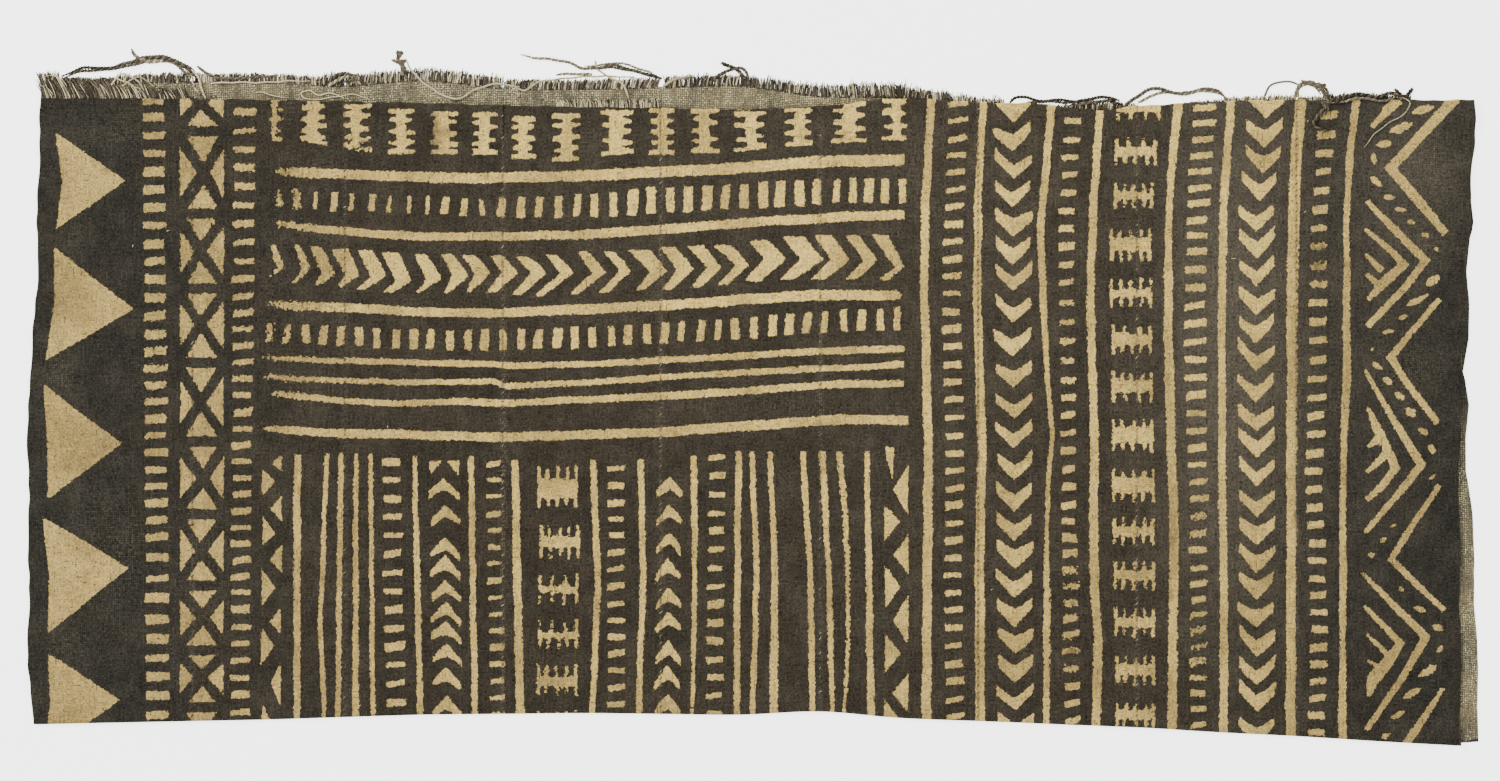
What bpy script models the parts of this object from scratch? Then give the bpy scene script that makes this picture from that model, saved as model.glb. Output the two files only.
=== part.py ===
"""Painted mud cloth wrapper: nine handwoven strips sewn side by side, lying folded once.

X runs across the strips, +Y points from the fold to the frayed ends, and Z is up from the surface that
the cloth lies on. The tables hold millimetres as the cloth lies, the model is in metres, and the origin
is the middle of the whole cloth's outline, on the surface.
"""
import math
import random
from typing import NamedTuple

import bmesh
import bpy
import numpy as np

MM = 0.001

# The cloth and how its layers lie, in millimetres
THICKNESS = 1.2
SEAM_GAP = 0.3
COLUMNS = 5
BACK_MID = THICKNESS / 2
FRONT_MID = 2.4
BEND_MID = 3.0
RAW_END_MID = 2.3
TURNED_END_MID = 4.0
FLAP_MID = 2.2
FLAP_LENGTH = 9.0
BEND_STEPS = 6
TURN_STEPS = 4
FRONT_SPACING = 24.0
BACK_SPACING = 44.0

# Frayed ends, in millimetres
BACKING_WIDTH = 3.0
LOCK_FILL = 0.52
LOCK_SWAY = 0.7
THREAD_WIDTH = 1.4
THREAD_HEIGHT = 1.1
THREAD_STEP = 4.0
SEED = 41

# Finishes: colour, roughness
PAINTED_COTTON = ((0.070, 0.057, 0.045), 0.92)
BARE_YARN = ((0.42, 0.35, 0.25), 0.95)


class Station(NamedTuple):
    """Ends of the two layers at one place across the cloth."""

    x: float
    fold: float
    front_end: float
    back_end: float


class Selvedge(NamedTuple):
    """Where the outer selvedges of the two layers lie at one height."""

    y: float
    left_front: float
    left_back: float
    right_front: float
    right_back: float


class Swell(NamedTuple):
    """A soft rise of the front layer: its middle, direction, half sizes and height."""

    x: float
    y: float
    degrees: float
    half_length: float
    half_width: float
    height: float


class Fray(NamedTuple):
    """A run of locks on one frayed end."""

    node: str
    strip: int
    layer: str
    start: float
    end: float
    locks: int
    length: float
    lean: float


class Thread(NamedTuple):
    """A long loose thread: its node, its root and the places that it passes."""

    node: str
    root: float
    places: tuple


STATIONS = (
    Station(-453.5, -205.0, 189.5, 199.5),
    Station(-403.5, -204.0, 189.5, 199.5),
    Station(-353.5, -203.0, 189.0, 200.5),
    Station(-305.5, -202.0, 188.5, 200.0),
    Station(-257.5, -200.5, 187.5, 198.0),
    Station(-207.5, -199.0, 186.5, 201.5),
    Station(-158.0, -198.5, 185.0, 196.5),
    Station(-108.0, -198.0, 184.0, 196.0),
    Station(-58.5, -198.5, 183.5, 197.0),
    Station(-8.5, -199.0, 182.5, 198.0),
    Station(42.0, -197.0, 184.5, 191.5),
    Station(91.5, -201.0, 189.5, 190.5),
    Station(141.5, -203.0, 187.0, 184.0),
    Station(191.0, -205.0, 185.0, 182.5),
    Station(241.5, -207.0, 182.0, 181.0),
    Station(291.5, -210.0, 187.5, 184.5),
    Station(342.0, -212.5, 188.5, 186.5),
    Station(398.5, -216.0, 188.5, 186.5),
    Station(454.5, -219.0, 188.5, 185.0),
)
SELVEDGES = (
    Selvedge(-214.0, -453.5, -452.0, 445.5, 457.0),
    Selvedge(-158.0, -457.0, -451.0, 445.5, 456.0),
    Selvedge(-101.5, -456.5, -451.0, 445.0, 454.0),
    Selvedge(-63.5, -457.0, -451.0, 445.0, 452.5),
    Selvedge(-0.5, -457.0, -450.0, 445.5, 449.0),
    Selvedge(37.0, -454.0, -449.5, 446.5, 449.5),
    Selvedge(89.0, -451.0, -449.0, 449.5, 451.0),
    Selvedge(135.0, -451.0, -449.0, 453.5, 451.5),
    Selvedge(183.5, -449.0, -449.0, 454.5, 451.5),
    Selvedge(188.5, -449.0, -449.0, 452.0, 451.5),
)
SEAMS = (-353.5, -257.5, -158.0, -58.5, 42.0, 141.5, 241.5, 342.0)
RAW_STRIPS = (1, 4)
SWELLS = (
    Swell(-415.0, 30.0, 88.0, 130.0, 22.0, 1.2),
    Swell(-300.0, 110.0, 70.0, 90.0, 26.0, 0.9),
    Swell(-190.0, -120.0, 12.0, 130.0, 24.0, 1.0),
    Swell(-120.0, 60.0, -8.0, 140.0, 26.0, 0.8),
    Swell(20.0, 140.0, 4.0, 130.0, 20.0, 1.5),
    Swell(95.0, 20.0, -60.0, 100.0, 24.0, 1.1),
    Swell(178.0, -26.0, 47.0, 55.0, 11.0, 1.6),
    Swell(235.0, 110.0, 86.0, 110.0, 20.0, 1.1),
    Swell(315.0, -110.0, 95.0, 120.0, 24.0, 1.2),
    Swell(425.0, -60.0, 88.0, 150.0, 16.0, 1.8),
)
FRAYS = (
    Fray("fringe_back_1", 1, "back", -446.0, -356.0, 18, 4.6, -0.6),
    Fray("fringe_back_2", 2, "back", -352.0, -262.0, 18, 5.2, 0.3),
    Fray("fringe_back_3", 3, "back", -253.0, -160.0, 18, 6.0, 0.6),
    Fray("fringe_back_4", 4, "back", -156.0, -62.0, 18, 6.0, -0.3),
    Fray("fringe_back_5", 5, "back", -52.0, 40.0, 18, 5.8, 0.4),
    Fray("fringe_back_6", 6, "back", 44.0, 139.0, 18, 5.5, 0.2),
    Fray("fringe_back_7", 7, "back", 144.0, 158.0, 3, 4.2, 0.0),
    Fray("fringe_back_7", 7, "back", 175.0, 230.0, 9, 4.6, 0.9),
    Fray("fringe_back_8", 8, "back", 262.0, 297.0, 7, 3.0, 0.4),
    Fray("fringe_back_8", 8, "back", 299.0, 340.0, 8, 4.6, -0.6),
    Fray("fringe_back_9", 9, "back", 344.0, 414.0, 13, 4.8, 0.8),
    Fray("fringe_front_1", 1, "front", -446.0, -398.0, 12, 10.5, -3.4),
    Fray("fringe_front_1", 1, "front", -396.0, -356.0, 9, 6.5, -3.0),
    Fray("fringe_front_4", 4, "front", -122.0, -61.0, 14, 4.6, -0.5),
)
THREADS = (
    Thread("fringe_back_1", -357.0, ((-356.0, 208.5), (-364.0, 213.5), (-377.0, 215.5), (-390.0, 214.0),
                                     (-405.0, 210.5), (-418.0, 211.5), (-432.0, 207.5))),
    Thread("fringe_back_1", -367.0, ((-368.0, 207.0), (-374.0, 210.5), (-383.0, 211.0), (-395.0, 207.0))),
    Thread("fringe_back_3", -221.5, ((-221.5, 210.0), (-224.0, 217.8))),
    Thread("fringe_back_4", -63.0, ((-62.5, 203.0), (-69.0, 207.5), (-80.0, 209.0), (-95.5, 211.0),
                                    (-107.5, 210.5), (-125.5, 215.0), (-147.0, 216.5))),
    Thread("fringe_back_4", -73.0, ((-72.5, 203.5), (-79.0, 205.6), (-89.0, 206.6), (-99.0, 206.2))),
    Thread("fringe_back_5", -4.0, ((-3.5, 205.5), (-7.0, 209.0), (-13.0, 210.5), (-20.0, 212.5))),
    Thread("fringe_back_5", -25.0, ((-25.0, 203.5), (-21.0, 206.5), (-14.0, 207.3))),
    Thread("fringe_back_7", 178.0, ((178.0, 188.0), (172.5, 190.2), (165.5, 188.8), (161.5, 187.2))),
    Thread("fringe_back_8", 297.0, ((298.0, 190.0), (290.0, 194.0), (273.0, 193.5), (256.0, 194.5),
                                    (245.0, 191.5), (234.0, 187.5))),
    Thread("fringe_back_8", 283.0, ((282.0, 188.5), (274.0, 190.3), (260.0, 190.6), (250.0, 188.5))),
    Thread("fringe_back_9", 358.0, ((358.0, 194.0), (354.5, 199.5), (346.0, 201.5), (336.0, 200.5),
                                    (328.0, 197.0), (322.0, 193.5))),
    Thread("fringe_back_9", 405.0, ((405.5, 191.5), (402.5, 195.0))),
    Thread("fringe_back_9", 411.5, ((412.0, 191.0), (414.5, 194.0))),
)

# Middle of the finished outline in the tables' frame, so that the model's origin is there
OUTLINE_MIDDLE = (0.03, -0.31)


def clear_scene() -> None:
    """Remove every object of the open file."""
    for item in list(bpy.data.objects):
        bpy.data.objects.remove(item, do_unlink=True)


def finish(name: str, look: tuple) -> bpy.types.Material:
    """Make a plain Principled material.

    Args:
        name: The material's name.
        look: Its colour and roughness.

    Returns:
        The material.
    """
    colour, roughness = look
    material = bpy.data.materials.new(name)
    material.use_nodes = True
    shader = material.node_tree.nodes["Principled BSDF"]
    shader.inputs["Base Color"].default_value = (*colour, 1.0)
    shader.inputs["Roughness"].default_value = roughness
    shader.inputs["Metallic"].default_value = 0.0
    return material


def through(rows: tuple, key: str, column: str, at: float) -> float:
    """Read a table column along a smooth curve through its rows.

    Args:
        rows: The table, sorted by its key.
        key: The column that the curve runs along.
        column: The column to read.
        at: The place, as a value of the key.

    Returns:
        The column's value there, and its end value beyond the table.
    """
    keys = np.array([getattr(row, key) for row in rows])
    values = np.array([getattr(row, column) for row in rows])
    slopes = np.gradient(values, keys)
    at = min(max(at, keys[0]), keys[-1])
    low = min(int(np.searchsorted(keys, at, side="right")) - 1, len(keys) - 2)
    span = keys[low + 1] - keys[low]
    t = (at - keys[low]) / span
    return float((2 * t**3 - 3 * t**2 + 1) * values[low] + (t**3 - 2 * t**2 + t) * span * slopes[low]
                 + (3 * t**2 - 2 * t**3) * values[low + 1] + (t**3 - t**2) * span * slopes[low + 1])


def ease(low: float, high: float, value: float) -> float:
    """Rise smoothly from 0 at low to 1 at high."""
    t = min(max((value - low) / (high - low), 0.0), 1.0)
    return t * t * (3 - 2 * t)


def swell_height(x: float, y: float) -> float:
    """Add up the soft rises of the front layer at one place."""
    total = 0.0
    for swell in SWELLS:
        turn = math.radians(swell.degrees)
        along = (x - swell.x) * math.cos(turn) + (y - swell.y) * math.sin(turn)
        across = (y - swell.y) * math.cos(turn) - (x - swell.x) * math.sin(turn)
        total += swell.height * math.exp(-(along / swell.half_length)**2 - (across / swell.half_width)**2)
    return total


def front_mid(x: float, y: float, fold: float, end: float, end_mid: float) -> float:
    """Height of the front layer's middle surface.

    Args:
        x: Place across the cloth.
        y: Place along the strip.
        fold: Where the strip is folded.
        end: Where its front layer ends.
        end_mid: The height of that end.

    Returns:
        The height in millimetres.
    """
    at_fold = 1.0 - ease(4.0, 18.0, y - fold)
    at_end = 1.0 - ease(FLAP_LENGTH + 1.0, FLAP_LENGTH + 16.0, end - y)
    free = ease(6.0, 45.0, y - fold) * ease(FLAP_LENGTH + 4.0, FLAP_LENGTH + 40.0, end - y)
    return (FRONT_MID + (BEND_MID - FRONT_MID) * at_fold + (end_mid - FRONT_MID) * at_end
            + swell_height(x, y) * free)


def section(x: float, turned_under: bool, wavy_edge: bool) -> list:
    """Middle line of one lengthwise section of a folded strip.

    It runs from the back layer's end to the fold, round the bend, and along the front layer to its end
    or round the turn to the flap below it.

    Args:
        x: Place across the cloth.
        turned_under: Whether the front's end is turned under.
        wavy_edge: Whether the back layer needs rows for a selvedge.

    Returns:
        A list of (layer, y, z, heading) with the heading in radians in the section's plane.
    """
    fold = through(STATIONS, "x", "fold", x)
    front_end = through(STATIONS, "x", "front_end", x)
    back_end = through(STATIONS, "x", "back_end", x) - BACKING_WIDTH - SEAM_GAP
    bend_radius = (BEND_MID - BACK_MID) / 2
    bend_y = fold + bend_radius + THICKNESS / 2
    step_out = bend_y + 3.5
    line = []
    back_rows = 2 + (int((back_end - step_out) / BACK_SPACING) if wavy_edge else 0)
    for y in np.linspace(back_end, step_out, back_rows):
        line.append(("back", float(y), BACK_MID, math.pi))
    for step in range(BEND_STEPS + 1):
        heading = math.pi * (1 - step / BEND_STEPS)
        line.append(("front", bend_y - bend_radius * math.sin(heading),
                     BACK_MID + bend_radius * (1 + math.cos(heading)), heading))
    turn_radius = (TURNED_END_MID - FLAP_MID) / 2
    end_mid = TURNED_END_MID if turned_under else RAW_END_MID
    last = front_end - turn_radius - THICKNESS / 2 if turned_under else front_end - BACKING_WIDTH - SEAM_GAP
    near_fold = [bend_y + offset for offset in (6.0, 13.0, 20.0)]
    near_end = [last - offset for offset in (24.0, 16.0, 9.0, 0.0)]
    middle_rows = int((near_end[0] - near_fold[-1]) / FRONT_SPACING)
    middle = np.linspace(near_fold[-1], near_end[0], middle_rows + 2)[1:-1]
    for y in (*near_fold, *middle, *near_end):
        slope = (front_mid(x, y + 0.5, fold, last, end_mid) - front_mid(x, y - 0.5, fold, last, end_mid))
        line.append(("front", float(y), front_mid(x, y, fold, last, end_mid), math.atan(slope)))
    if turned_under:
        line[-1] = ("front", last, TURNED_END_MID, 0.0)
        for step in range(1, TURN_STEPS + 1):
            heading = -math.pi * step / TURN_STEPS
            line.append(("front", last - turn_radius * math.sin(heading),
                         FLAP_MID + turn_radius * (1 + math.cos(heading)), heading))
        line.append(("front", last - FLAP_LENGTH, FLAP_MID, -math.pi))
    return line


def across(number: int, layer: str, part: float, y: float) -> float:
    """Place across the cloth of a column of one strip.

    Args:
        number: The strip, from 1 at the left.
        layer: front or back.
        part: The column's place in the strip, from 0 to 1.
        y: Place along the strip.

    Returns:
        The place in millimetres.
    """
    left = SEAMS[number - 2] + SEAM_GAP / 2 if number > 1 else through(SELVEDGES, "y", f"left_{layer}", y)
    right = (SEAMS[number - 1] - SEAM_GAP / 2 if number <= len(SEAMS)
             else through(SELVEDGES, "y", f"right_{layer}", y))
    return left + (right - left) * part


def place(x: float, y: float, z: float) -> tuple:
    """Turn a place in the tables' millimetres into the model's metres."""
    return ((x - OUTLINE_MIDDLE[0]) * MM, (y - OUTLINE_MIDDLE[1]) * MM, z * MM)


def loft(mesh: bmesh.types.BMesh, rings: list) -> list:
    """Skin closed rings of equal, even length, and close both ends from side to side.

    Args:
        mesh: The mesh to add to.
        rings: Lists of places in millimetres.

    Returns:
        The side faces, one list for each pair of rings.
    """
    corners = [[mesh.verts.new(place(*point)) for point in ring] for ring in rings]
    count = len(rings[0])
    sides = [[mesh.faces.new((low[i], low[(i + 1) % count], high[(i + 1) % count], high[i]))
              for i in range(count)] for low, high in zip(corners, corners[1:])]
    for ring, facing in ((corners[0], -1), (corners[-1], 1)):
        for i in range(count // 2 - 1):
            mesh.faces.new((ring[i], ring[i + 1], ring[count - 2 - i], ring[count - 1 - i])[::facing])
    return sides


def add_object(name: str, mesh: bmesh.types.BMesh, material: bpy.types.Material) -> bpy.types.Object:
    """Turn a bmesh into an object of the scene."""
    bmesh.ops.recalc_face_normals(mesh, faces=mesh.faces)
    data = bpy.data.meshes.new(name)
    mesh.to_mesh(data)
    mesh.free()
    data.materials.append(material)
    item = bpy.data.objects.new(name, data)
    bpy.context.scene.collection.objects.link(item)
    return item


def make_strip(number: int, material: bpy.types.Material) -> bpy.types.Object:
    """Build one folded strip: back layer, bend, front layer and its turned end."""
    turned_under = number not in RAW_STRIPS
    parts = np.linspace(0.0, 1.0, COLUMNS)
    wavy_edge = number in (1, len(SEAMS) + 1)
    lines = [section(across(number, "front", part, 0.0), turned_under, wavy_edge) for part in parts]
    rings = []
    for row in zip(*lines):
        outer, inner = [], []
        for part, (layer, y, z, heading) in zip(parts, row):
            x = across(number, layer, part, y)
            lean_y, rise = -math.sin(heading) * THICKNESS / 2, math.cos(heading) * THICKNESS / 2
            outer.append((x, y + lean_y, z + rise))
            inner.append((x, y - lean_y, z - rise))
        rings.append(outer + inner[::-1])
    mesh = bmesh.new()
    loft(mesh, rings)
    return add_object(f"strip_{number}", mesh, material)


def grow(mesh: bmesh.types.BMesh, face: bmesh.types.BMFace, middle: float, outline: list) -> None:
    """Draw a strand out of one face of a backing, ring after ring.

    Args:
        mesh: The backing's mesh.
        face: The face that the strand grows from.
        middle: The face's middle across the cloth, in millimetres.
        outline: Rows of (x, y, right_x, right_y, base, height): the ring's middle, the way from its
            middle to its right edge, and its lowest point and height.
    """
    x_middle = (middle - OUTLINE_MIDDLE[0]) * MM
    z_middle = face.calc_center_median().z
    roles = [(math.copysign(1.0, vert.co.x - x_middle), vert.co.z > z_middle) for vert in face.verts]
    for x, y, right_x, right_y, base, height in outline:
        face = bmesh.ops.extrude_discrete_faces(mesh, faces=[face])["faces"][0]
        for vert, (side, top) in zip(face.verts, roles):
            vert.co = place(x + side * right_x, y + side * right_y, base + (height if top else 0.0))


def lock_outline(rng: random.Random, x: float, y: float, width: float, base: float, fray: Fray) -> list:
    """Rings of one short lock: its bend and its tip."""
    sway = rng.uniform(-LOCK_SWAY, LOCK_SWAY)
    reach = fray.length * rng.uniform(0.82, 1.0)
    tip_x = x + fray.lean + sway
    return [
        (x + fray.lean * 0.35, y + reach * 0.5, width * 0.42, 0.0, base, THICKNESS * 0.85),
        (tip_x, y + reach, width * 0.20, 0.0, base, THICKNESS * 0.5),
    ]


def thread_outline(x: float, y: float, places: tuple) -> list:
    """Rings of one long loose thread, lying on the surface along a smooth curve."""
    stops = np.array([(x, y), (x, y + 1.5), *places])
    runs = np.concatenate([[0.0], np.cumsum(np.linalg.norm(np.diff(stops, axis=0), axis=1))])
    slopes = np.gradient(stops, runs, axis=0)
    steps = max(int(runs[-1] / THREAD_STEP), 3)
    rings = []
    for run in np.linspace(1.5, runs[-1], steps):
        low = min(int(np.searchsorted(runs, run, side="right")) - 1, len(runs) - 2)
        span = runs[low + 1] - runs[low]
        t = (run - runs[low]) / span
        spot = ((2 * t**3 - 3 * t**2 + 1) * stops[low] + (t**3 - 2 * t**2 + t) * span * slopes[low]
                + (3 * t**2 - 2 * t**3) * stops[low + 1] + (t**3 - t**2) * span * slopes[low + 1])
        way = ((6 * t**2 - 6 * t) * (stops[low] - stops[low + 1]) / span
               + (3 * t**2 - 4 * t + 1) * slopes[low] + (3 * t**2 - 2 * t) * slopes[low + 1])
        way /= np.linalg.norm(way)
        half = THREAD_WIDTH / 2 * (1.0 - 0.5 * (run / runs[-1])**4)
        rings.append((spot[0], spot[1], way[1] * half, -way[0] * half, 0.0, THREAD_HEIGHT))
    return rings


def make_fringe(name: str, material: bpy.types.Material, rng: random.Random) -> bpy.types.Object:
    """Build one frayed end: a narrow strip with its locks and its loose threads.

    Args:
        name: The node's name.
        material: Its finish.
        rng: The source of the locks' unevenness.

    Returns:
        The object.
    """
    runs = [fray for fray in FRAYS if fray.node == name]
    strip, layer = runs[0].strip, runs[0].layer
    column = f"{layer}_end"
    base = 0.0 if layer == "back" else RAW_END_MID - THICKNESS / 2
    cells = []
    for fray in runs:
        pitch = (fray.end - fray.start) / fray.locks
        cells += [(fray.start + pitch * (i + 0.5), pitch * LOCK_FILL, fray) for i in range(fray.locks)]
    threads = {}
    for thread in (thread for thread in THREADS if thread.node == name):
        nearest = min(range(len(cells)), key=lambda i: abs(cells[i][0] - thread.root))
        threads[nearest] = thread
    end_y = through(STATIONS, "x", column, runs[0].start)
    sides = [across(strip, layer, part, end_y) for part in (0.0, 1.0)]
    edges = [sides[0], *(x + side * width / 2 for x, width, _ in cells for side in (-1, 1)), sides[1]]
    strip_columns = [across(strip, layer, part, end_y) for part in np.linspace(0.0, 1.0, COLUMNS)]
    strip_ends = [through(STATIONS, "x", column, across(strip, "front", part, 0.0))
                  for part in np.linspace(0.0, 1.0, COLUMNS)]
    rings = []
    for x in edges:
        outer = float(np.interp(x, strip_columns, strip_ends))
        inner = outer - BACKING_WIDTH
        rings.append([(x, inner, base), (x, outer, base), (x, outer, base + THICKNESS),
                      (x, inner, base + THICKNESS)])
    mesh = bmesh.new()
    faces = loft(mesh, rings)
    for index, (x, width, fray) in enumerate(cells):
        y = float(np.interp(x, strip_columns, strip_ends))
        if index in threads:
            outline = thread_outline(x, y, threads[index].places)
        else:
            outline = lock_outline(rng, x, y, width, base, fray)
        grow(mesh, faces[2 * index + 1][1], x, outline)
    flat_faces = [[group[side] for group in faces] for side in (0, 2)]
    for group in flat_faces:
        bmesh.ops.dissolve_faces(mesh, faces=group)
    return add_object(name, mesh, material)


def main() -> None:
    """Build the folded cloth, strip by strip, and its frayed ends."""
    clear_scene()
    cloth = finish("painted_cotton", PAINTED_COTTON)
    yarn = finish("bare_yarn", BARE_YARN)
    for number in range(1, len(SEAMS) + 2):
        make_strip(number, cloth)
    rng = random.Random(SEED)
    for name in dict.fromkeys(fray.node for fray in FRAYS):
        make_fringe(name, yarn, rng)


main()
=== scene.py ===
"""Looks of a painted mud cloth wrapper: nine sewn strips, folded once, with frayed ends.

The tables hold millimetres as the cloth lies. x runs across the strips and y from the fold to the frayed
ends. Past the fold, y carries on round the bend and up the back layer, so it falls below the fold's own y.
Pieces are made in metres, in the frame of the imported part.
"""

import logging
import math
from collections.abc import Iterator
from dataclasses import dataclass, field
from enum import Enum
from functools import cached_property
from random import Random
from typing import NamedTuple

import bpy
import numpy as np
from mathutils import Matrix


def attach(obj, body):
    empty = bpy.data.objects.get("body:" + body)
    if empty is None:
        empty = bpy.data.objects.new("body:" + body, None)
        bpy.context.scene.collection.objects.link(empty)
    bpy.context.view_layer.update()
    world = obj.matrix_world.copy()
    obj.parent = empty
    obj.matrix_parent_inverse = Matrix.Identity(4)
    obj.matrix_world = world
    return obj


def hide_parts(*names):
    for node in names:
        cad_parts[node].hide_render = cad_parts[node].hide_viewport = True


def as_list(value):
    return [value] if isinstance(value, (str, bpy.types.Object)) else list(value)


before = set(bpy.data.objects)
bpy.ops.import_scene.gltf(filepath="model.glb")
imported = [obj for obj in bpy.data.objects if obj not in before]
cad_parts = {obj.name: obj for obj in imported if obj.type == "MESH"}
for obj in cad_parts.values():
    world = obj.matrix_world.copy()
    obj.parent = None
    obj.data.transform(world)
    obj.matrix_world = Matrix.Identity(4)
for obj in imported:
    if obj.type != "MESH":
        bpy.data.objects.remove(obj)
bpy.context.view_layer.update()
LOG = logging.getLogger("mud_cloth")

MM = 0.001
BODY = "root"
# The middle of the whole cloth's outline in the tables, which is the part's origin.
ORIGIN = np.array((0.03, -0.31, 0.0))

# A place, its value, the next place, its value and so on.
Stops = tuple[float, ...]
Colour = tuple[float, float, float]
Socket = bpy.types.NodeSocket
Node = bpy.types.Node
Material = bpy.types.Material
Object = bpy.types.Object
Array = np.ndarray
Value = Socket | float | tuple


class Direction(Enum):
    """Which way a painted line runs."""

    ALONG = "along the strips"
    ACROSS = "across the strips"


class Pointing(Enum):
    """Which way a painted chevron points."""

    FOLD = "towards the fold"
    ENDS = "towards the frayed ends"


class Layer(Enum):
    """The two layers of the folded cloth."""

    FRONT = "front"
    BACK = "back"


class Station(NamedTuple):
    """Ends of the two layers at one place across the cloth."""

    x: float
    fold: float
    front_end: float
    back_end: float


class Selvedge(NamedTuple):
    """Where the outer selvedges of the two layers lie at one height."""

    y: float
    left_front: float
    left_back: float
    right_front: float
    right_back: float


class Swell(NamedTuple):
    """A soft rise of the front layer: its middle, direction, half sizes and height."""

    x: float
    y: float
    degrees: float
    half_length: float
    half_width: float
    height: float


class Crease(NamedTuple):
    """A crease: its two ends, its height or depth and its half width."""

    x_start: float
    y_start: float
    x_end: float
    y_end: float
    height: float
    half_width: float


class Blot(NamedTuple):
    """A soft patch of the surface: its middle, half sizes and strength."""

    x: float
    y: float
    half_x: float
    half_y: float
    amount: float


STATIONS = tuple(Station(*row) for row in ((-453.5, -205, 189.5, 199.5), (-403.5, -204, 189.5, 199.5),
    (-353.5, -203, 189, 200.5), (-305.5, -202, 188.5, 200), (-257.5, -200.5, 187.5, 198),
    (-207.5, -199, 186.5, 201.5), (-158, -198.5, 185, 196.5), (-108, -198, 184, 196),
    (-58.5, -198.5, 183.5, 197), (-8.5, -199, 182.5, 198), (42, -197, 184.5, 191.5),
    (91.5, -201, 189.5, 190.5), (141.5, -203, 187, 184), (191, -205, 185, 182.5),
    (201, -205.4, 183.4, 182.3), (209, -205.7, 182.5, 182), (227, -206.4, 182.6, 181.4),
    (234.5, -206.7, 184.1, 181.2), (241.5, -207, 184.6, 181), (291.5, -210, 187.5, 184.5),
    (342, -212.5, 188.5, 186.5), (398.5, -216, 188.5, 186.5), (454.5, -219, 188.5, 185),))
SELVEDGES = tuple(Selvedge(*row) for row in ((-214, -453.5, -452, 445.5, 457),
    (-158, -457, -451, 445.5, 456), (-101.5, -456.5, -451, 445, 454), (-63.5, -457, -451, 444.6, 452.7),
    (-41, -457, -450.7, 444.3, 448.9), (-30, -457.1, -450.5, 444.4, 447.8), (-20, -457.1, -450.3, 445, 449),
    (-9, -457, -450.1, 446.3, 450.6), (2, -457, -450, 447.4, 451), (12, -456.2, -449.9, 447.4, 449.2),
    (24, -455.1, -449.7, 445.4, 446.4), (32, -454.4, -449.6, 447, 449.8),
    (46, -453.3, -449.5, 447.8, 450.2), (64, -452.2, -449.3, 448.4, 451.2),
    (76, -451.5, -449.2, 448.6, 450.8), (85, -451.1, -449.1, 447.8, 449.2), (98, -451, -449, 449.4, 451),
    (109, -451, -449, 451, 453.2), (119, -451, -449, 451.8, 452.8), (132, -451, -449, 451.9, 451.6),
    (160, -450, -449, 454.6, 451.5), (188.5, -449, -449, 453.8, 451.5),))
SEAMS = (-353.5, -257.5, -158, -58.5, 42, 141.5, 241.5, 342)
RAW_STRIPS = (1, 4)
SWELLS = tuple(Swell(*row) for row in ((-415, 30, 88, 130, 22, 1.2), (-300, 110, 70, 90, 26, 0.9),
    (-190, -120, 12, 130, 24, 1), (-120, 60, -8, 140, 26, 0.8), (20, 140, 4, 130, 20, 1.5),
    (95, 20, -60, 100, 24, 1.1), (178, -26, 47, 55, 11, 1.6), (235, 110, 86, 110, 20, 1.1),
    (315, -110, 95, 120, 24, 1.2), (425, -60, 88, 150, 16, 1.8),))
CREASES = tuple(Crease(*row) for row in ((155, -51, 182, -32, -0.75, 1.5), (182, -32, 208, -12, -0.65, 1.4),
    (158, -45, 205, -7, 0.45, 4), (-385, -118, -372, 20, -0.3, 3), (-330, 60, -322, 150, 0.3, 4.5),
    (-288, -150, -180, -138, -0.28, 4), (-60, -100, 30, -112, 0.3, 5), (52, -160, 60, -60, -0.3, 3.5),
    (-240, 95, -120, 88, -0.22, 4.5), (262, -40, 270, 90, -0.35, 4), (395, -200, 402, -90, 0.4, 5),
    (433, 60, 440, 170, -0.45, 4),))


def curve(keys: Array, values: Array, at: Array) -> Array:
    """Read a smooth curve through values, held at its ends beyond them.

    Args:
        keys: Where the values are, in order.
        values: A value, or a row of them, for each key.
        at: Where to read the curve.

    Returns:
        What it says there.
    """
    slopes = np.gradient(values, keys, axis=0)
    at = np.clip(at, keys[0], keys[-1])
    low = np.clip(np.searchsorted(keys, at, side="right") - 1, 0, len(keys) - 2)
    span = keys[low + 1] - keys[low]
    t = (at - keys[low]) / span
    if values.ndim > 1:
        span, t = span[:, None], t[:, None]
    return ((2 * t**3 - 3 * t**2 + 1) * values[low] + (t**3 - 2 * t**2 + t) * span * slopes[low]
        + (3 * t**2 - 2 * t**3) * values[low + 1] + (t**3 - t**2) * span * slopes[low + 1])


def through(rows: tuple, column: str, at: Array) -> Array:
    """Read a table's column along a smooth curve, at places that the table's first column measures."""
    return curve(np.array([row[0] for row in rows]), np.array([getattr(row, column) for row in rows]), at)


def ends(x: Array) -> list[Array]:
    """Say where the cloth folds and where its front and back layers end, at places across it."""
    return [through(STATIONS, name, x) for name in ("fold", "front_end", "back_end")]


def ease(low: float, high: float, value: Array) -> Array:
    """Rise smoothly from 0 at low to 1 at high."""
    t = np.clip((value - low) / (high - low), 0, 1)
    return t * t * (3 - 2 * t)


def drift(stops: Stops, at: Array | float) -> Array:
    """Read a value that changes evenly between its stops."""
    keys, values = zip(*sorted(zip(stops[::2], stops[1::2])))
    return np.interp(at, keys, values)


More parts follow.
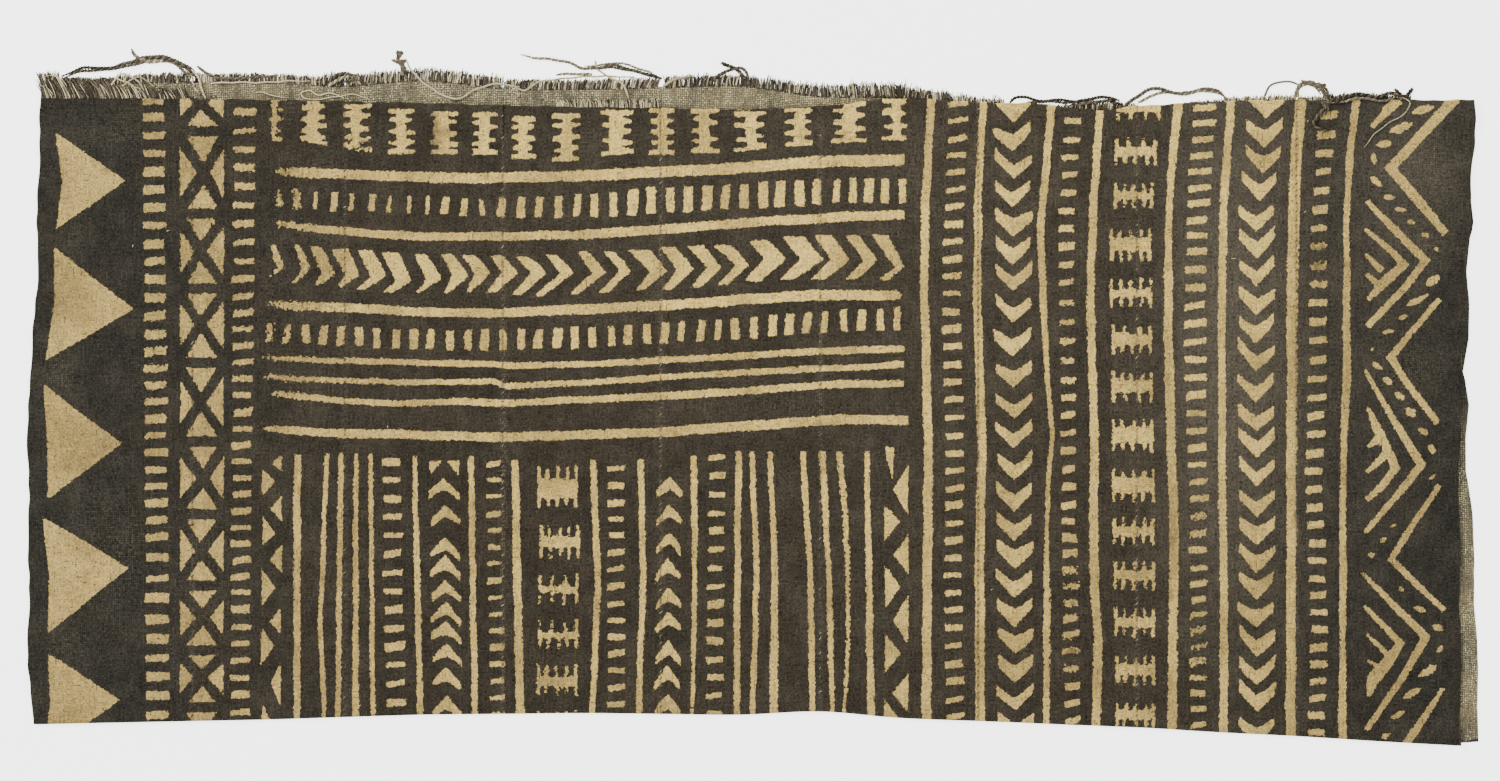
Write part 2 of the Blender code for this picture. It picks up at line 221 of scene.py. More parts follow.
def unsteady(rng: Random, at: Array, reach: float, spacing: float) -> Array:
    """Offsets of an unsteady hand along a line.

    Args:
        rng: The unevenness.
        at: The places along the line.
        reach: The largest offset.
        spacing: How far apart the hand changes its mind.

    Returns:
        One smooth offset for each place.
    """
    knots = np.arange(at.min() - spacing, at.max() + 2 * spacing, spacing)
    offsets = np.array([shake(rng, reach) for _ in knots])
    low = np.clip(((at - knots[0]) / spacing).astype(int), 0, len(knots) - 2)
    t = (at - knots[low]) / spacing
    t = t * t * (3 - 2 * t)
    return offsets[low] * (1 - t) + offsets[low + 1] * t


def shake(rng: Random, reach: float) -> float:
    """Draw one offset either way."""
    return rng.uniform(-reach, reach)


def shaken(rng: Random, corners: tuple | list | Array, x: float, y: float) -> Array:
    """Move each corner a little, by up to x and y."""
    return np.array([(across + shake(rng, x), up + shake(rng, y)) for across, up in corners])


@dataclass
class Grid:
    """A strip's middle surface as rows of places from the back layer's end to the front's."""

    x: Array
    y: Array
    z: Array
    along: Array


@dataclass(frozen=True)
class Lay:
    """How the cloth lies folded: its sizes, heights and edges."""

    thickness: float = 1.0
    outer_offset: float = 0.6
    back_mid: float = 0.6
    front_mid: float = 2.4
    bend_mid: float = 3.0
    raw_end_mid: float = 2.3
    turned_end_mid: float = 4.0
    flap_mid: float = 2.2
    flap_length: float = 9.0
    step_out: float = 3.0
    pitch: float = 1.15
    back_pitch: float = 5.2
    bend_rows: int = 12
    turn_rows: int = 8
    flap_rows: int = 4
    coarse: int = 4
    seam_depth: float = 0.34
    seam_half_width: float = 1.3
    pucker: float = 0.13
    pucker_length: float = 7.5
    selvedge_sway: float = 0.55

    def relief(self, x: Array, y: Array) -> Array:
        """Height of swells, creases, seam troughs and their puckers on the front layer.

        Args:
            x: Places across the cloth.
            y: Places along the strips.

        Returns:
            The heights in millimetres.
        """
        total = np.zeros_like(x)
        for swell in SWELLS:
            turn = math.radians(swell.degrees)
            along = (x - swell.x) * math.cos(turn) + (y - swell.y) * math.sin(turn)
            across = (y - swell.y) * math.cos(turn) - (x - swell.x) * math.sin(turn)
            total += swell.height * np.exp(-(along / swell.half_length)**2 - (across / swell.half_width)**2)
        for crease in CREASES:
            way_x, way_y = crease.x_end - crease.x_start, crease.y_end - crease.y_start
            length = math.hypot(way_x, way_y)
            along = ((x - crease.x_start) * way_x + (y - crease.y_start) * way_y) / length
            across = ((y - crease.y_start) * way_x - (x - crease.x_start) * way_y) / length
            across += 1.2 * np.sin(along / 9.0)
            taper = ease(-2, 8, along) * (1.0 - ease(length - 8, length + 2, along))
            total += crease.height * np.exp(-(across / crease.half_width)**2) * taper
        for number, seam in enumerate(SEAMS):
            away = x - seam
            total -= self.seam_depth * np.exp(-(away / self.seam_half_width)**2)
            wave = np.sin(2 * math.pi * y / self.pucker_length + 1.7 * number + np.sin(y / 23.0 + number))
            total += self.pucker * wave * np.exp(-(away / 4.5)**2)
        total += 0.1 * np.sin(x / 6.1 + 1.3 * np.sin(y / 17.0)) * np.sin(y / 8.3 + 1.1 * np.sin(x / 13.0))
        total += 0.14 * np.sin(y / 21.0 + 1.9 * np.sin(x / 37.0)) * np.sin(x / 15.0 + y / 41.0)
        return total

    def front_height(self, x: Array, y: Array, fold: Array, end: Array, end_mid: float) -> Array:
        """Height of the front layer's middle surface.

        Args:
            x: Places across the cloth.
            y: Places along the strip.
            fold: Where the strip is folded.
            end: Where its front layer ends.
            end_mid: The height of that end.

        Returns:
            The heights in millimetres.
        """
        at_fold = 1.0 - ease(4, 18, y - fold)
        at_end = 1.0 - ease(self.flap_length + 1, self.flap_length + 16, end - y)
        free = ease(2, 30, y - fold) * ease(2, self.flap_length + 24, end - y)
        return (self.front_mid + (self.bend_mid - self.front_mid) * at_fold + (end_mid - self.front_mid)
            * at_end + self.relief(x, y) * free)

    def across(self, number: int, layer: Layer, part: Array, y: Array) -> Array:
        """Places across the cloth of columns of one strip.

        Args:
            number: The strip, from 1 at the left.
            layer: The layer.
            part: The columns' places in the strip, from 0 to 1.
            y: Places along the strip.

        Returns:
            The places in millimetres.
        """
        sway = self.selvedge_sway * (np.sin(y / 3.7 + np.sin(y / 9.0)) * 0.5 + np.sin(y / 11.0 + 0.7))
        if number > 1:
            left = SEAMS[number - 2]
        else:
            left = through(SELVEDGES, f"left_{layer.value}", y) + sway
        if number <= len(SEAMS):
            right = SEAMS[number - 1]
        else:
            right = through(SELVEDGES, f"right_{layer.value}", y) - sway
        return left + (right - left) * part

    def grid(self, number: int) -> Grid:
        """Lay out one strip's middle surface.

        Args:
            number: The strip, from 1 at the left.

        Returns:
            Its rows of places, whose numbers of rows and columns are one more than a multiple of coarse.
        """
        width = float(np.ptp(self.across(number, Layer.FRONT, np.array((0.0, 1.0)), 0.0)))
        columns = self.coarse * round(width / self.pitch / self.coarse)
        part = np.linspace(0, 1, columns + 1)
        guide = self.across(number, Layer.FRONT, part, 0.0)
        fold, front_end, back_end = ends(guide)
        front_end = front_end + 0.25 * np.sin(guide / 5.3) + 0.2 * np.sin(guide / 2.1 + 1.0)
        radius = (self.bend_mid - self.back_mid) / 2
        bend_y = fold + radius + self.outer_offset
        rows = []
        back_rows = self.coarse * round(float(np.mean(back_end - bend_y)) / self.back_pitch / self.coarse)
        under = bend_y - radius * math.pi
        back_places = [back_end + (bend_y + self.step_out - back_end) * share for share
            in np.linspace(0, 1, back_rows + 1)]
        back_places += [bend_y + self.step_out * (1 - step / self.coarse) for step in range(1, self.coarse)]
        for y in back_places:
            rows.append((Layer.BACK, y, np.full_like(y, self.back_mid), under - (y - bend_y)))
        for step in range(self.bend_rows + 1):
            turn = math.pi * (1 - step / self.bend_rows)
            rows.append((Layer.FRONT, bend_y - radius * math.sin(turn),
                np.full_like(bend_y, self.back_mid + radius * (1 + math.cos(turn))), bend_y - radius
                * turn))
        turned = number not in RAW_STRIPS
        turn_radius = (self.turned_end_mid - self.flap_mid) / 2
        end_mid = self.turned_end_mid if turned else self.raw_end_mid
        last = front_end - turn_radius - self.outer_offset if turned else front_end
        front_rows = self.coarse * round(float(np.mean(last - bend_y)) / self.pitch / self.coarse)
        for share in np.linspace(0, 1, front_rows + 1)[1:]:
            y = bend_y + (last - bend_y) * share
            rows.append((Layer.FRONT, y, self.front_height(guide, y, fold, last, end_mid), y))
        if turned:
            for step in range(1, self.turn_rows + 1):
                turn = math.pi * step / self.turn_rows
                rows.append((Layer.FRONT, last + turn_radius * math.sin(turn), self.flap_mid + turn_radius
                    * (1 + math.cos(turn)) + 0 * last, last + turn_radius * turn))
            for step in range(1, self.flap_rows + 1):
                back = self.flap_length * step / self.flap_rows
                rows.append((Layer.FRONT, last - back, np.full_like(last, self.flap_mid), last + turn_radius
                    * math.pi + back))
        layers, y, z, along = (list(column) for column in zip(*rows))
        x = np.array([self.across(number, layer, part, place) for layer, place in zip(layers, y)])
        return Grid(x, np.array(y), np.array(z), np.array(along))

    def top(self, x: Array, y: Array) -> Array:
        """Height of whatever lies on top at places seen from above: front layer, back layer or floor."""
        fold, front_end, back_end = ends(x)
        left, right = (through(SELVEDGES, f"{side}_front", y) for side in ("left", "right"))
        in_width = (x > left) & (x < right)
        strip = np.searchsorted(np.array(SEAMS), x) + 1
        end_mid = np.where(np.isin(strip, RAW_STRIPS), self.raw_end_mid, self.turned_end_mid)
        front = self.front_height(x, y, fold, front_end, end_mid) + self.outer_offset
        back = np.full_like(x, self.back_mid + self.thickness - self.outer_offset)
        under = np.where(in_width & (y < back_end), back, 0)
        return np.where(in_width & (y < front_end) & (y > fold), front, under)


LAY = Lay()
BACK_LIMIT = -590


@dataclass(frozen=True)
class Beat:
    """Places of a repeated mark: a few by number, the rest evenly between, and on past the fold."""

    knots: Stops
    sway: float = 0.45
    carries_on: bool = True

    def places(self, rng: Random) -> list[float]:
        """Work out each mark's place.

        Args:
            rng: The unevenness.

        Returns:
            The places in millimetres, in order.
        """
        numbers, spots = self.knots[::2], self.knots[1::2]
        found = list(np.interp(range(int(numbers[-1]) + 1), numbers, spots))
        step = found[-1] - found[-2]
        while self.carries_on and found[-1] > BACK_LIMIT:
            found.append(found[-1] + step)
        return [spot + shake(rng, self.sway) for spot in found]


class Motif:
    """Painted shapes of one kind, which are all bare."""

    def polygons(self, rng: Random) -> Iterator[Array]:
        """Outline each shape.

        Args:
            rng: The unevenness.

        Returns:
            The outlines, as rows of (x, y).
        """
        raise NotImplementedError


@dataclass(frozen=True)
class Stripe(Motif):
    """A bare line that the painter left between two edges of dye."""

    direction: Direction
    places: Stops
    widths: Stops
    start: float
    end: float
    sway: float = 0.3
    tips: tuple[float, float] = (0.85, 0.9)
    step: float = 4.0

    def polygons(self, rng: Random) -> Iterator[Array]:
        """Outline the line."""
        low, high = sorted((self.start, self.end))
        along = np.linspace(low, high, max(int((high - low) / self.step), 4))
        middle = drift(self.places, along) + unsteady(rng, along, self.sway, 21.0)
        half = drift(self.widths, along) / 2
        edges = [half + unsteady(rng, along, 0.3, 9.0) for _ in range(2)]
        for edge in edges:
            edge[[0, -1]] *= self.tips
        one = np.column_stack((along, middle - edges[0]))
        two = np.column_stack((along, middle + edges[1]))[::-1]
        outline = np.vstack((one, two))
        yield outline[:, ::-1] if self.direction is Direction.ALONG else outline


@dataclass(frozen=True)
class Dashes(Motif):
    """A column or row of short bare dashes lying across its own direction."""

    places: Stops
    beat: Beat
    lengths: Stops
    thickness: tuple[float, float]
    tilt: float = 0.6
    direction: Direction = Direction.ALONG

    def polygons(self, rng: Random) -> Iterator[Array]:
        """Outline each dash."""
        for along in self.beat.places(rng):
            middle = float(drift(self.places, along)) + shake(rng, 0.4)
            half = float(drift(self.lengths, along)) / 2 * rng.uniform(0.92, 1.06)
            thick = rng.uniform(*self.thickness) / 2
            tilt = self.tilt + shake(rng, 0.6)
            flare = rng.uniform(0.86, 1.12)
            corners = [(middle + across * half, along + up * thick * (flare if across > 0.5 else 1) + across
                * tilt) for across, up in ((-1, -1), (0.1, -1), (1, -1), (1, 1), (-0.1, 1), (-1, 1))]
            outline = shaken(rng, corners, 0.4, 0.22)
            yield outline if self.direction is Direction.ALONG else outline[:, ::-1]


@dataclass(frozen=True)
class Chevrons(Motif):
    """A run of bare chevrons, one behind the other."""

    pointing: Pointing
    places: Stops
    beat: Beat
    reach: tuple[float, float]
    rise: tuple[float, float]
    depth: tuple[float, float]
    edge: tuple[float, float]

    def polygons(self, rng: Random) -> Iterator[Array]:
        """Outline each chevron."""
        for along in self.beat.places(rng):
            middle = float(drift(self.places, along)) + shake(rng, 0.5)
            one, two = (reach * rng.uniform(0.95, 1.05) for reach in self.reach)
            rise_one, rise_two = (rise * rng.uniform(0.85, 1.15) for rise in self.rise)
            depth = rng.uniform(*self.depth)
            edge_one, edge_two = rng.uniform(*self.edge), rng.uniform(*self.edge)
            horns = (rise_one + edge_one - depth, rise_two + edge_two - depth)
            corners = [(0.0, 0.0), (two * 0.55, rise_two * 0.55), (two, rise_two),
                (two * 1.02, rise_two + edge_two), (two * 0.45, depth + horns[1] * 0.34),
                (shake(rng, 0.6), depth), (-one * 0.45, depth + horns[0] * 0.34),
                (-one * 1.02, rise_one + edge_one), (-one, rise_one), (-one * 0.5, rise_one * 0.5)]
            across, behind = shaken(rng, corners, 0.35, 0.4).T
            way = 1 if self.pointing is Pointing.FOLD else -1
            yield np.column_stack((middle + across, along + way * behind))


@dataclass(frozen=True)
class ArrowRow(Motif):
    """A row of bare arrow heads that point to the right between two dark lines."""

    beat: Beat
    tips: Stops
    tops: Stops
    lows: Stops
    top_left: Stops
    top_right: Stops
    low_left: Stops
    low_right: Stops
    depth: Stops

    def polygons(self, rng: Random) -> Iterator[Array]:
        """Outline each arrow head."""
        for x in self.beat.places(rng):
            tip, top, low = (float(drift(stops, x)) + shake(rng, 0.5) for stops
                in (self.tips, self.tops, self.lows))
            back = [float(drift(stops, x)) * rng.uniform(0.93, 1.07) for stops in (self.top_left,
                self.top_right, self.low_right, self.low_left, self.depth)]
            corners = ((x - back[0], top), (x - back[1], top),
                (x - back[1] * 0.42, (top + tip * 1.1) / 2.1), (x, tip),
                (x - back[2] * 0.5, (tip + low) / 2), (x - back[2], low), (x - back[3], low),
                ((x - back[3] * 0.35 - back[4] * 0.65), tip + (low - tip) * 0.36), (x - back[4], tip),
                (x - back[0] * 0.5 - back[4] * 0.5, (top + tip) / 2 + 0.4))
            yield shaken(rng, corners, 0.45, 0.35)


class Comb(NamedTuple):
    """A bare upright post with teeth: its sides from left to right, its top, its feet and its teeth."""

    tips_left: float
    post_left: float
    post_right: float
    tips_right: float
    top: float
    foot_left: float
    foot_right: float
    teeth_left: int = 5
    teeth_right: int = 5


@dataclass(frozen=True)
class Combs(Motif):
    """Combs in a row, or in a column when they lie on their sides."""

    rows: tuple
    tooth: float
    upright: bool = True

    def polygons(self, rng: Random) -> Iterator[Array]:
        """Outline each comb."""
        for comb in (Comb(*row) for row in self.rows):
            left, right = (self.side(post, tips, comb.top, foot, teeth, rng) for post, tips, foot, teeth
                in ((comb.post_left, comb.tips_left, comb.foot_left, comb.teeth_left), (comb.post_right,
                comb.tips_right, comb.foot_right, comb.teeth_right)))
            outline = np.array(left + right[::-1])
            yield outline if self.upright else outline[:, ::-1]

    def side(self, post: float, tips: float, top: float, foot: float, teeth: int,
        rng: Random) -> list[tuple[float, float]]:
        """Outline one side of a comb from its top to its foot.

        Args:
            post: The post's side.
            tips: How far the teeth reach.
            top: The comb's top.
            foot: Its foot.
            teeth: How many teeth there are.
            rng: The unevenness.

        Returns:
            Places down the side.
        """
        if not teeth:
            return [(post, top), (post + shake(rng, 0.4), (top + foot) / 2), (post, foot)]
        found = []
        down = -1.0 if foot < top else 1.0
        for index, share in enumerate(np.linspace(0, 1, teeth)):
            first, last = index == 0, index == teeth - 1
            wide = self.tooth * rng.uniform(0.75, 1.25) / 2
            tip = wide * rng.uniform(0.5, 1)
            spot = top + (foot - top) * share + (0.0 if first or last else shake(rng, 0.7))
            spot += down * (wide if first else -wide if last else 0.0)
            reach = tips + (post - tips) * (rng.uniform(0, 0.12) if first or last else rng.uniform(0, 0.35))
            root = post + (tips - post) * rng.uniform(-0.12, 0.1)
            found += [(root if not first else reach, spot - down * wide * (1.0 if first else 1.2)),
                (reach, spot - down * tip), (reach, spot + down * tip), (root if not last else reach, spot
                + down * wide * (1.0 if last else 1.2))]
        return found


@dataclass(frozen=True)
class Spikes(Motif):
    """A column of bare triangles: each one's base corners, its tip and, if it has one, its base's hollow."""

    rows: tuple[tuple[float, ...], ...]

    def polygons(self, rng: Random) -> Iterator[Array]:
        """Outline each triangle, its base drawn in by its hollow."""
        for x_high, y_high, x_low, y_low, x_tip, y_tip, *hollow in self.rows:
            middle = ((x_high + x_low) / 2 + sum(hollow), (y_high + y_low) / 2)
            upper = ((x_high + x_tip) / 2, (y_high + y_tip) / 2)
            lower = ((x_low + x_tip) / 2, (y_low + y_tip) / 2)
            corners = ((x_high, y_high), upper, (x_tip, y_tip), lower, (x_low, y_low), middle)
            yield shaken(rng, corners, 0.5, 0.5)


@dataclass(frozen=True)
class Bands(Motif):
    """Bare bands of changing width through a few places each."""

    rows: tuple[tuple[tuple[float, float, float], ...], ...]

    def polygons(self, rng: Random) -> Iterator[Array]:
        """Outline each band, with mitred turns."""
        for row in self.rows:
            places, half = np.array(row, float)[:, :2], np.array(row)[:, 2] / 2
            ways = np.diff(places, axis=0)
            ways /= np.linalg.norm(ways, axis=1)[:, None]
            normals = np.column_stack((-ways[:, 1], ways[:, 0]))
            mitres = np.vstack((normals[:1], normals[:-1] + normals[1:], normals[-1:]))
            mitres /= np.linalg.norm(mitres, axis=1)[:, None]
            lean = np.einsum("ij,ij->i", mitres, np.vstack((normals, normals[-1:])))
            offset = mitres * (half / np.maximum(lean, 0.4))[:, None]
            moved = shaken(rng, np.zeros_like(places), 0.3, 0.3)
            yield np.vstack((places + offset + moved, (places - offset + moved)[::-1]))


@dataclass(frozen=True)
class Grains(Motif):
    """Small bare lenses: the two ends of each, and how thick it is."""

    rows: tuple[tuple[float, ...], ...]

    def polygons(self, rng: Random) -> Iterator[Array]:
        """Outline each lens as six points."""
        for x_start, y_start, x_end, y_end, thick in self.rows:
            start = np.array((x_start, y_start))
            way = np.array((x_end, y_end)) - start
            side = np.array((-way[1], way[0])) / np.linalg.norm(way) * thick / 2
            corners = [start, start + way * 0.32 - side, start + way * 0.75 - side * 0.9, start + way, start
                + way * 0.68 + side, start + way * 0.25 + side * 0.9]
            yield shaken(rng, corners, 0.3, 0.3)


@dataclass(frozen=True)
class CrossBoxes(Motif):
    """Bare boxes down a column, each crossed by two dark arms."""

    left: float
    right: float
    bars: Beat
    bar: float
    arm: float

    def edges(self, rng: Random) -> list[tuple[float, float]]:
        """Tops and bottoms of the boxes."""
        places = self.bars.places(rng)
        return [(high - self.bar / 2, low + self.bar / 2) for high, low in zip(places, places[1:])]

    def polygons(self, rng: Random) -> Iterator[Array]:
        """Outline the four bare triangles of each box."""
        for high, low in self.edges(rng):
            middle = np.array(((self.left + self.right) / 2 + shake(rng, 1.5), (high + low) / 2
                + shake(rng, 1)))
            corners = [np.array(corner) for corner in ((self.left, high), (self.right, high),
                (self.right, low), (self.left, low))]
            for one, two in zip(corners, corners[1:] + corners[:1]):
                side = two - one
                length = float(np.linalg.norm(side))
                arms = [(middle - corner) / np.linalg.norm(middle - corner) for corner in (one, two)]
                half = self.arm / 2 * rng.uniform(0.85, 1.15)
                slant = [abs(float(side[0] * arm[1] - side[1] * arm[0])) / length for arm in arms]
                apart = math.sqrt(max(1.0 - float(arms[0] @ arms[1]), 0.01) / 2)
                inward = ((one + two) / 2 - middle) / np.linalg.norm((one + two) / 2 - middle)
                outline = (one + side * half / length / slant[0], (one + two) / 2, two - side * half
                    / length / slant[1], middle + inward * half / apart)
                yield shaken(rng, outline, 0.4, 0.4)


def line_along(places: Stops, widths: Stops, start: float = 195.0, end: float = BACK_LIMIT) -> Stripe:
    """A bare line that runs along the strips and, as a rule, over the fold."""
    return Stripe(Direction.ALONG, places, widths, start, end)


def line_across(places: Stops, width: float, start: float = -309.0, end: float = 95.0) -> Stripe:
    """A bare line that runs across the strips, thin where the painter began it."""
    return Stripe(Direction.ACROSS, places, (start, width * 0.5, start + 16.0, width * 0.85, 0.0, width,
        end, width), start, end, 0.25, (0.4, 0.9))


LEFT_BORDER = (
    Spikes(((-439.5, 168, -439, 107.5, -395.5, 137.5, 3.5), (-440.5, 96, -446.5, 24, -391, 56.5, 3),
    (-448, 9.5, -445, -63, -398, -27.5, 2), (-447.5, -74.5, -444.5, -148, -393.5, -106, 2.5),
    (-444, -160, -446, -222, -398.5, -190, 2),)),
    Dashes((180, -378, -200, -375), Beat((0, 188.2, 1, 177.6, 13, 41, 25, -87, 29, -138.5, 34, -199.5)),
    (180, 13.2, -200, 14.5), (3.8, 6), 0.4),
    CrossBoxes(-361.2, -333.8, Beat((0, 205, 1, 169, 2, 117, 3, 69.5, 4, 22.5, 5, -27, 6, -72.5, 7, -117, 8,
    -158, 9, -193.5, 10, -236), 0.6), 6.6, 6.9),
    Dashes((180, -320.5, -200, -323.5), Beat((0, 181, 9, 75.5, 19, -29, 28, -122, 35, -197)),
    (180, 13.6, -200, 12), (2.9, 4.8), 0.3),
)

UPPER_PANEL = (
    Combs(((-303.5, -303.5, -300, -296.5, 190.5, 163, 162.5, 0, 5),
    (-285.5, -281, -274.5, -268.5, 190, 163, 159.5, 5, 6),
    (-258.5, -253.5, -247.5, -239.5, 185.5, 158.5, 155.5),
    (-230.5, -225, -219, -213, 182.5, 154.5, 154.5), (-203.5, -198, -192, -185.5, 181, 154.5, 154.5),
    (-177.5, -172.5, -166.5, -161, 180.5, 154, 154, 5, 4),
    (-152.5, -148, -142.5, -137, 178, 151.5, 151.5), (-127.5, -121, -114.5, -109, 180, 149.5, 150.5),
    (-96.5, -91, -82.5, -75.5, 182, 153, 155, 4, 5), (-66, -60, -54.5, -49.5, 183, 154, 154),
    (-39.5, -34, -28, -21, 183, 155, 155, 5, 4), (-12.5, -4.5, 2, 8.5, 181, 155.5, 158, 4, 4),
    (19.5, 26, 32, 37.5, 183, 159, 160, 4, 4), (49, 56.5, 64.5, 71.5, 187.5, 161.5, 162, 5, 4),
    (80.5, 87.5, 92.5, 96.5, 189, 163, 163, 4, 4),), 2.9),
    Bands((((-199.4, 177, 3.6), (-199.2, 161, 4.4)),)),
    line_across((-302, 143.5, -248, 141, -182, 139, -158, 139.5, -112.5, 140.5, -59, 143, -3.5, 146, 38,
    149.5, 95.5, 150.5), 7, -302),
    Dashes((-299.5, 126.5, -222.5, 122.5, -158, 120.5),
    Beat((0, -299.5, 5, -241, 10, -182, 11, -171), 0.7, False),
    (-300, 10, -280, 11.8, -228, 10.4, -205, 11.8, -170, 10.8), (2.4, 4.9), 0.2, Direction.ACROSS),
    Dashes((-158, 120.5, -99, 122.2, -84, 123.6, -1, 127.9, 61, 131.5, 94, 131.5),
    Beat((0, -158.5, 6, -88, 10, -41, 14, 5.5, 18, 52, 21, 83, 22, 93.5), 0.5, False),
    (-150, 12.9, -112, 14.4, -84, 16.2, 29, 16.2, 94, 14.5), (4, 6.6), 0.2, Direction.ACROSS),
    line_across((-302, 111, -274.5, 107, -234.5, 104, -208, 102.5, -158, 102.5, -112.5, 103.5, -57.5, 107,
    -3.5, 111, 51.5, 114.5, 95, 116), 5.7, -302),
    ArrowRow(Beat((0, -295, 3, -248, 5, -215, 7, -179, 8, -166, 11, -113, 12, -93, 13, -77, 14, -55, 17,
    -3.5, 18, 21, 19, 44, 22, 94.5), 0.5, False), (-295, 82.5, -280, 81.5, -263, 78.5, -230, 77, -215,
    74.5, -166, 79, -55, 80.5, -3.5, 84.5, 21, 88, 78, 87.5, 94, 82.5), (-295, 97.5, -240, 94.5, -215,
    92.5, -166, 91, -132, 89.5, -77, 93.5, -3.5, 97.5, 62, 103.5), (-295, 77.5, -280, 73.5, -248, 70.5,
    -215, 67, -148, 67, -113, 65, -55, 68.5, -3.5, 72, 44, 75.5), (-295, 8.5, -280, 10, -263, 16.5,
    -230, 18.5, -166, 17.5, -77, 18.5, -55, 23, -20, 22, 44, 25.5, 62, 21.5, 94, 19), (-295, 6, -263,
    7.7, -215, 7.8, -197, 10.6, -20, 11, 44, 12.5, 94, 9.2), (-295, 10, -248, 14, -230, 18, -166, 15.5,
    -148, 21, -113, 26, -77, 20.5, -4, 19.5, 21, 27.5, 44, 27, 94, 15.5), (-295, 8, -230, 12, -148,
    13.5, -113, 20, -77, 13.7, -4, 13.5, 44, 18, 94, 8), (-295, 4.8, -280, 5, -263, 9, -148, 10.5, -77,
    7.5, -55, 10.5, -4, 8.5, 21, 13.7, 44, 14, 62, 11.5, 94, 5),),
    line_across((-305, 60, -260.5, 57.5, -208, 55, -168, 54, -107.5, 56.5, -57.5, 59, -3.5, 63, 38, 65.5,
    92.5, 65.5), 6.2, -305, 92.5),
    Dashes((-304.5, 42, -229.5, 38, -173.5, 37, -104.5, 39, -50, 42, -2, 44.5, 34.5, 48.5, 90, 50.5),
    Beat((0, -304.5, 35, 90.5), 0.8, False), (-305, 12, 91, 14), (3.8, 5.4), 0.2, Direction.ACROSS),
    line_across((-308.5, 26, -267, 24.5, -208, 23, -161.5, 22, -157.5, 21, -107.5, 22, -57.5, 24.5, -3.5,
    27.5, 38, 30, 92.5, 31.5), 4.1),
    line_across((-306, 14, -260.5, 11.5, -208, 10.5, -163, 11.5, -157.5, 8, -107.5, 10.5, -57.5, 14, -3.5,
    17, 51.5, 19.5, 93.5, 22), 3.9),
    line_across((-304, 4, -261, -1, -221.5, -3, -182, -1.5, -159.5, -2.5, -107.5, -0.5, -57.5, 2, -3.5, 5,
    51.5, 9.5, 95.5, 10), 4.5, -304),
    line_across((-308.5, -18.5, -261, -21.5, -208, -22.5, -159.5, -24, -107.5, -22.5, -57.5, -21, -3.5, -17,
    51.5, -13, 97.5, -13), 6, -308.5, 97.5),
)

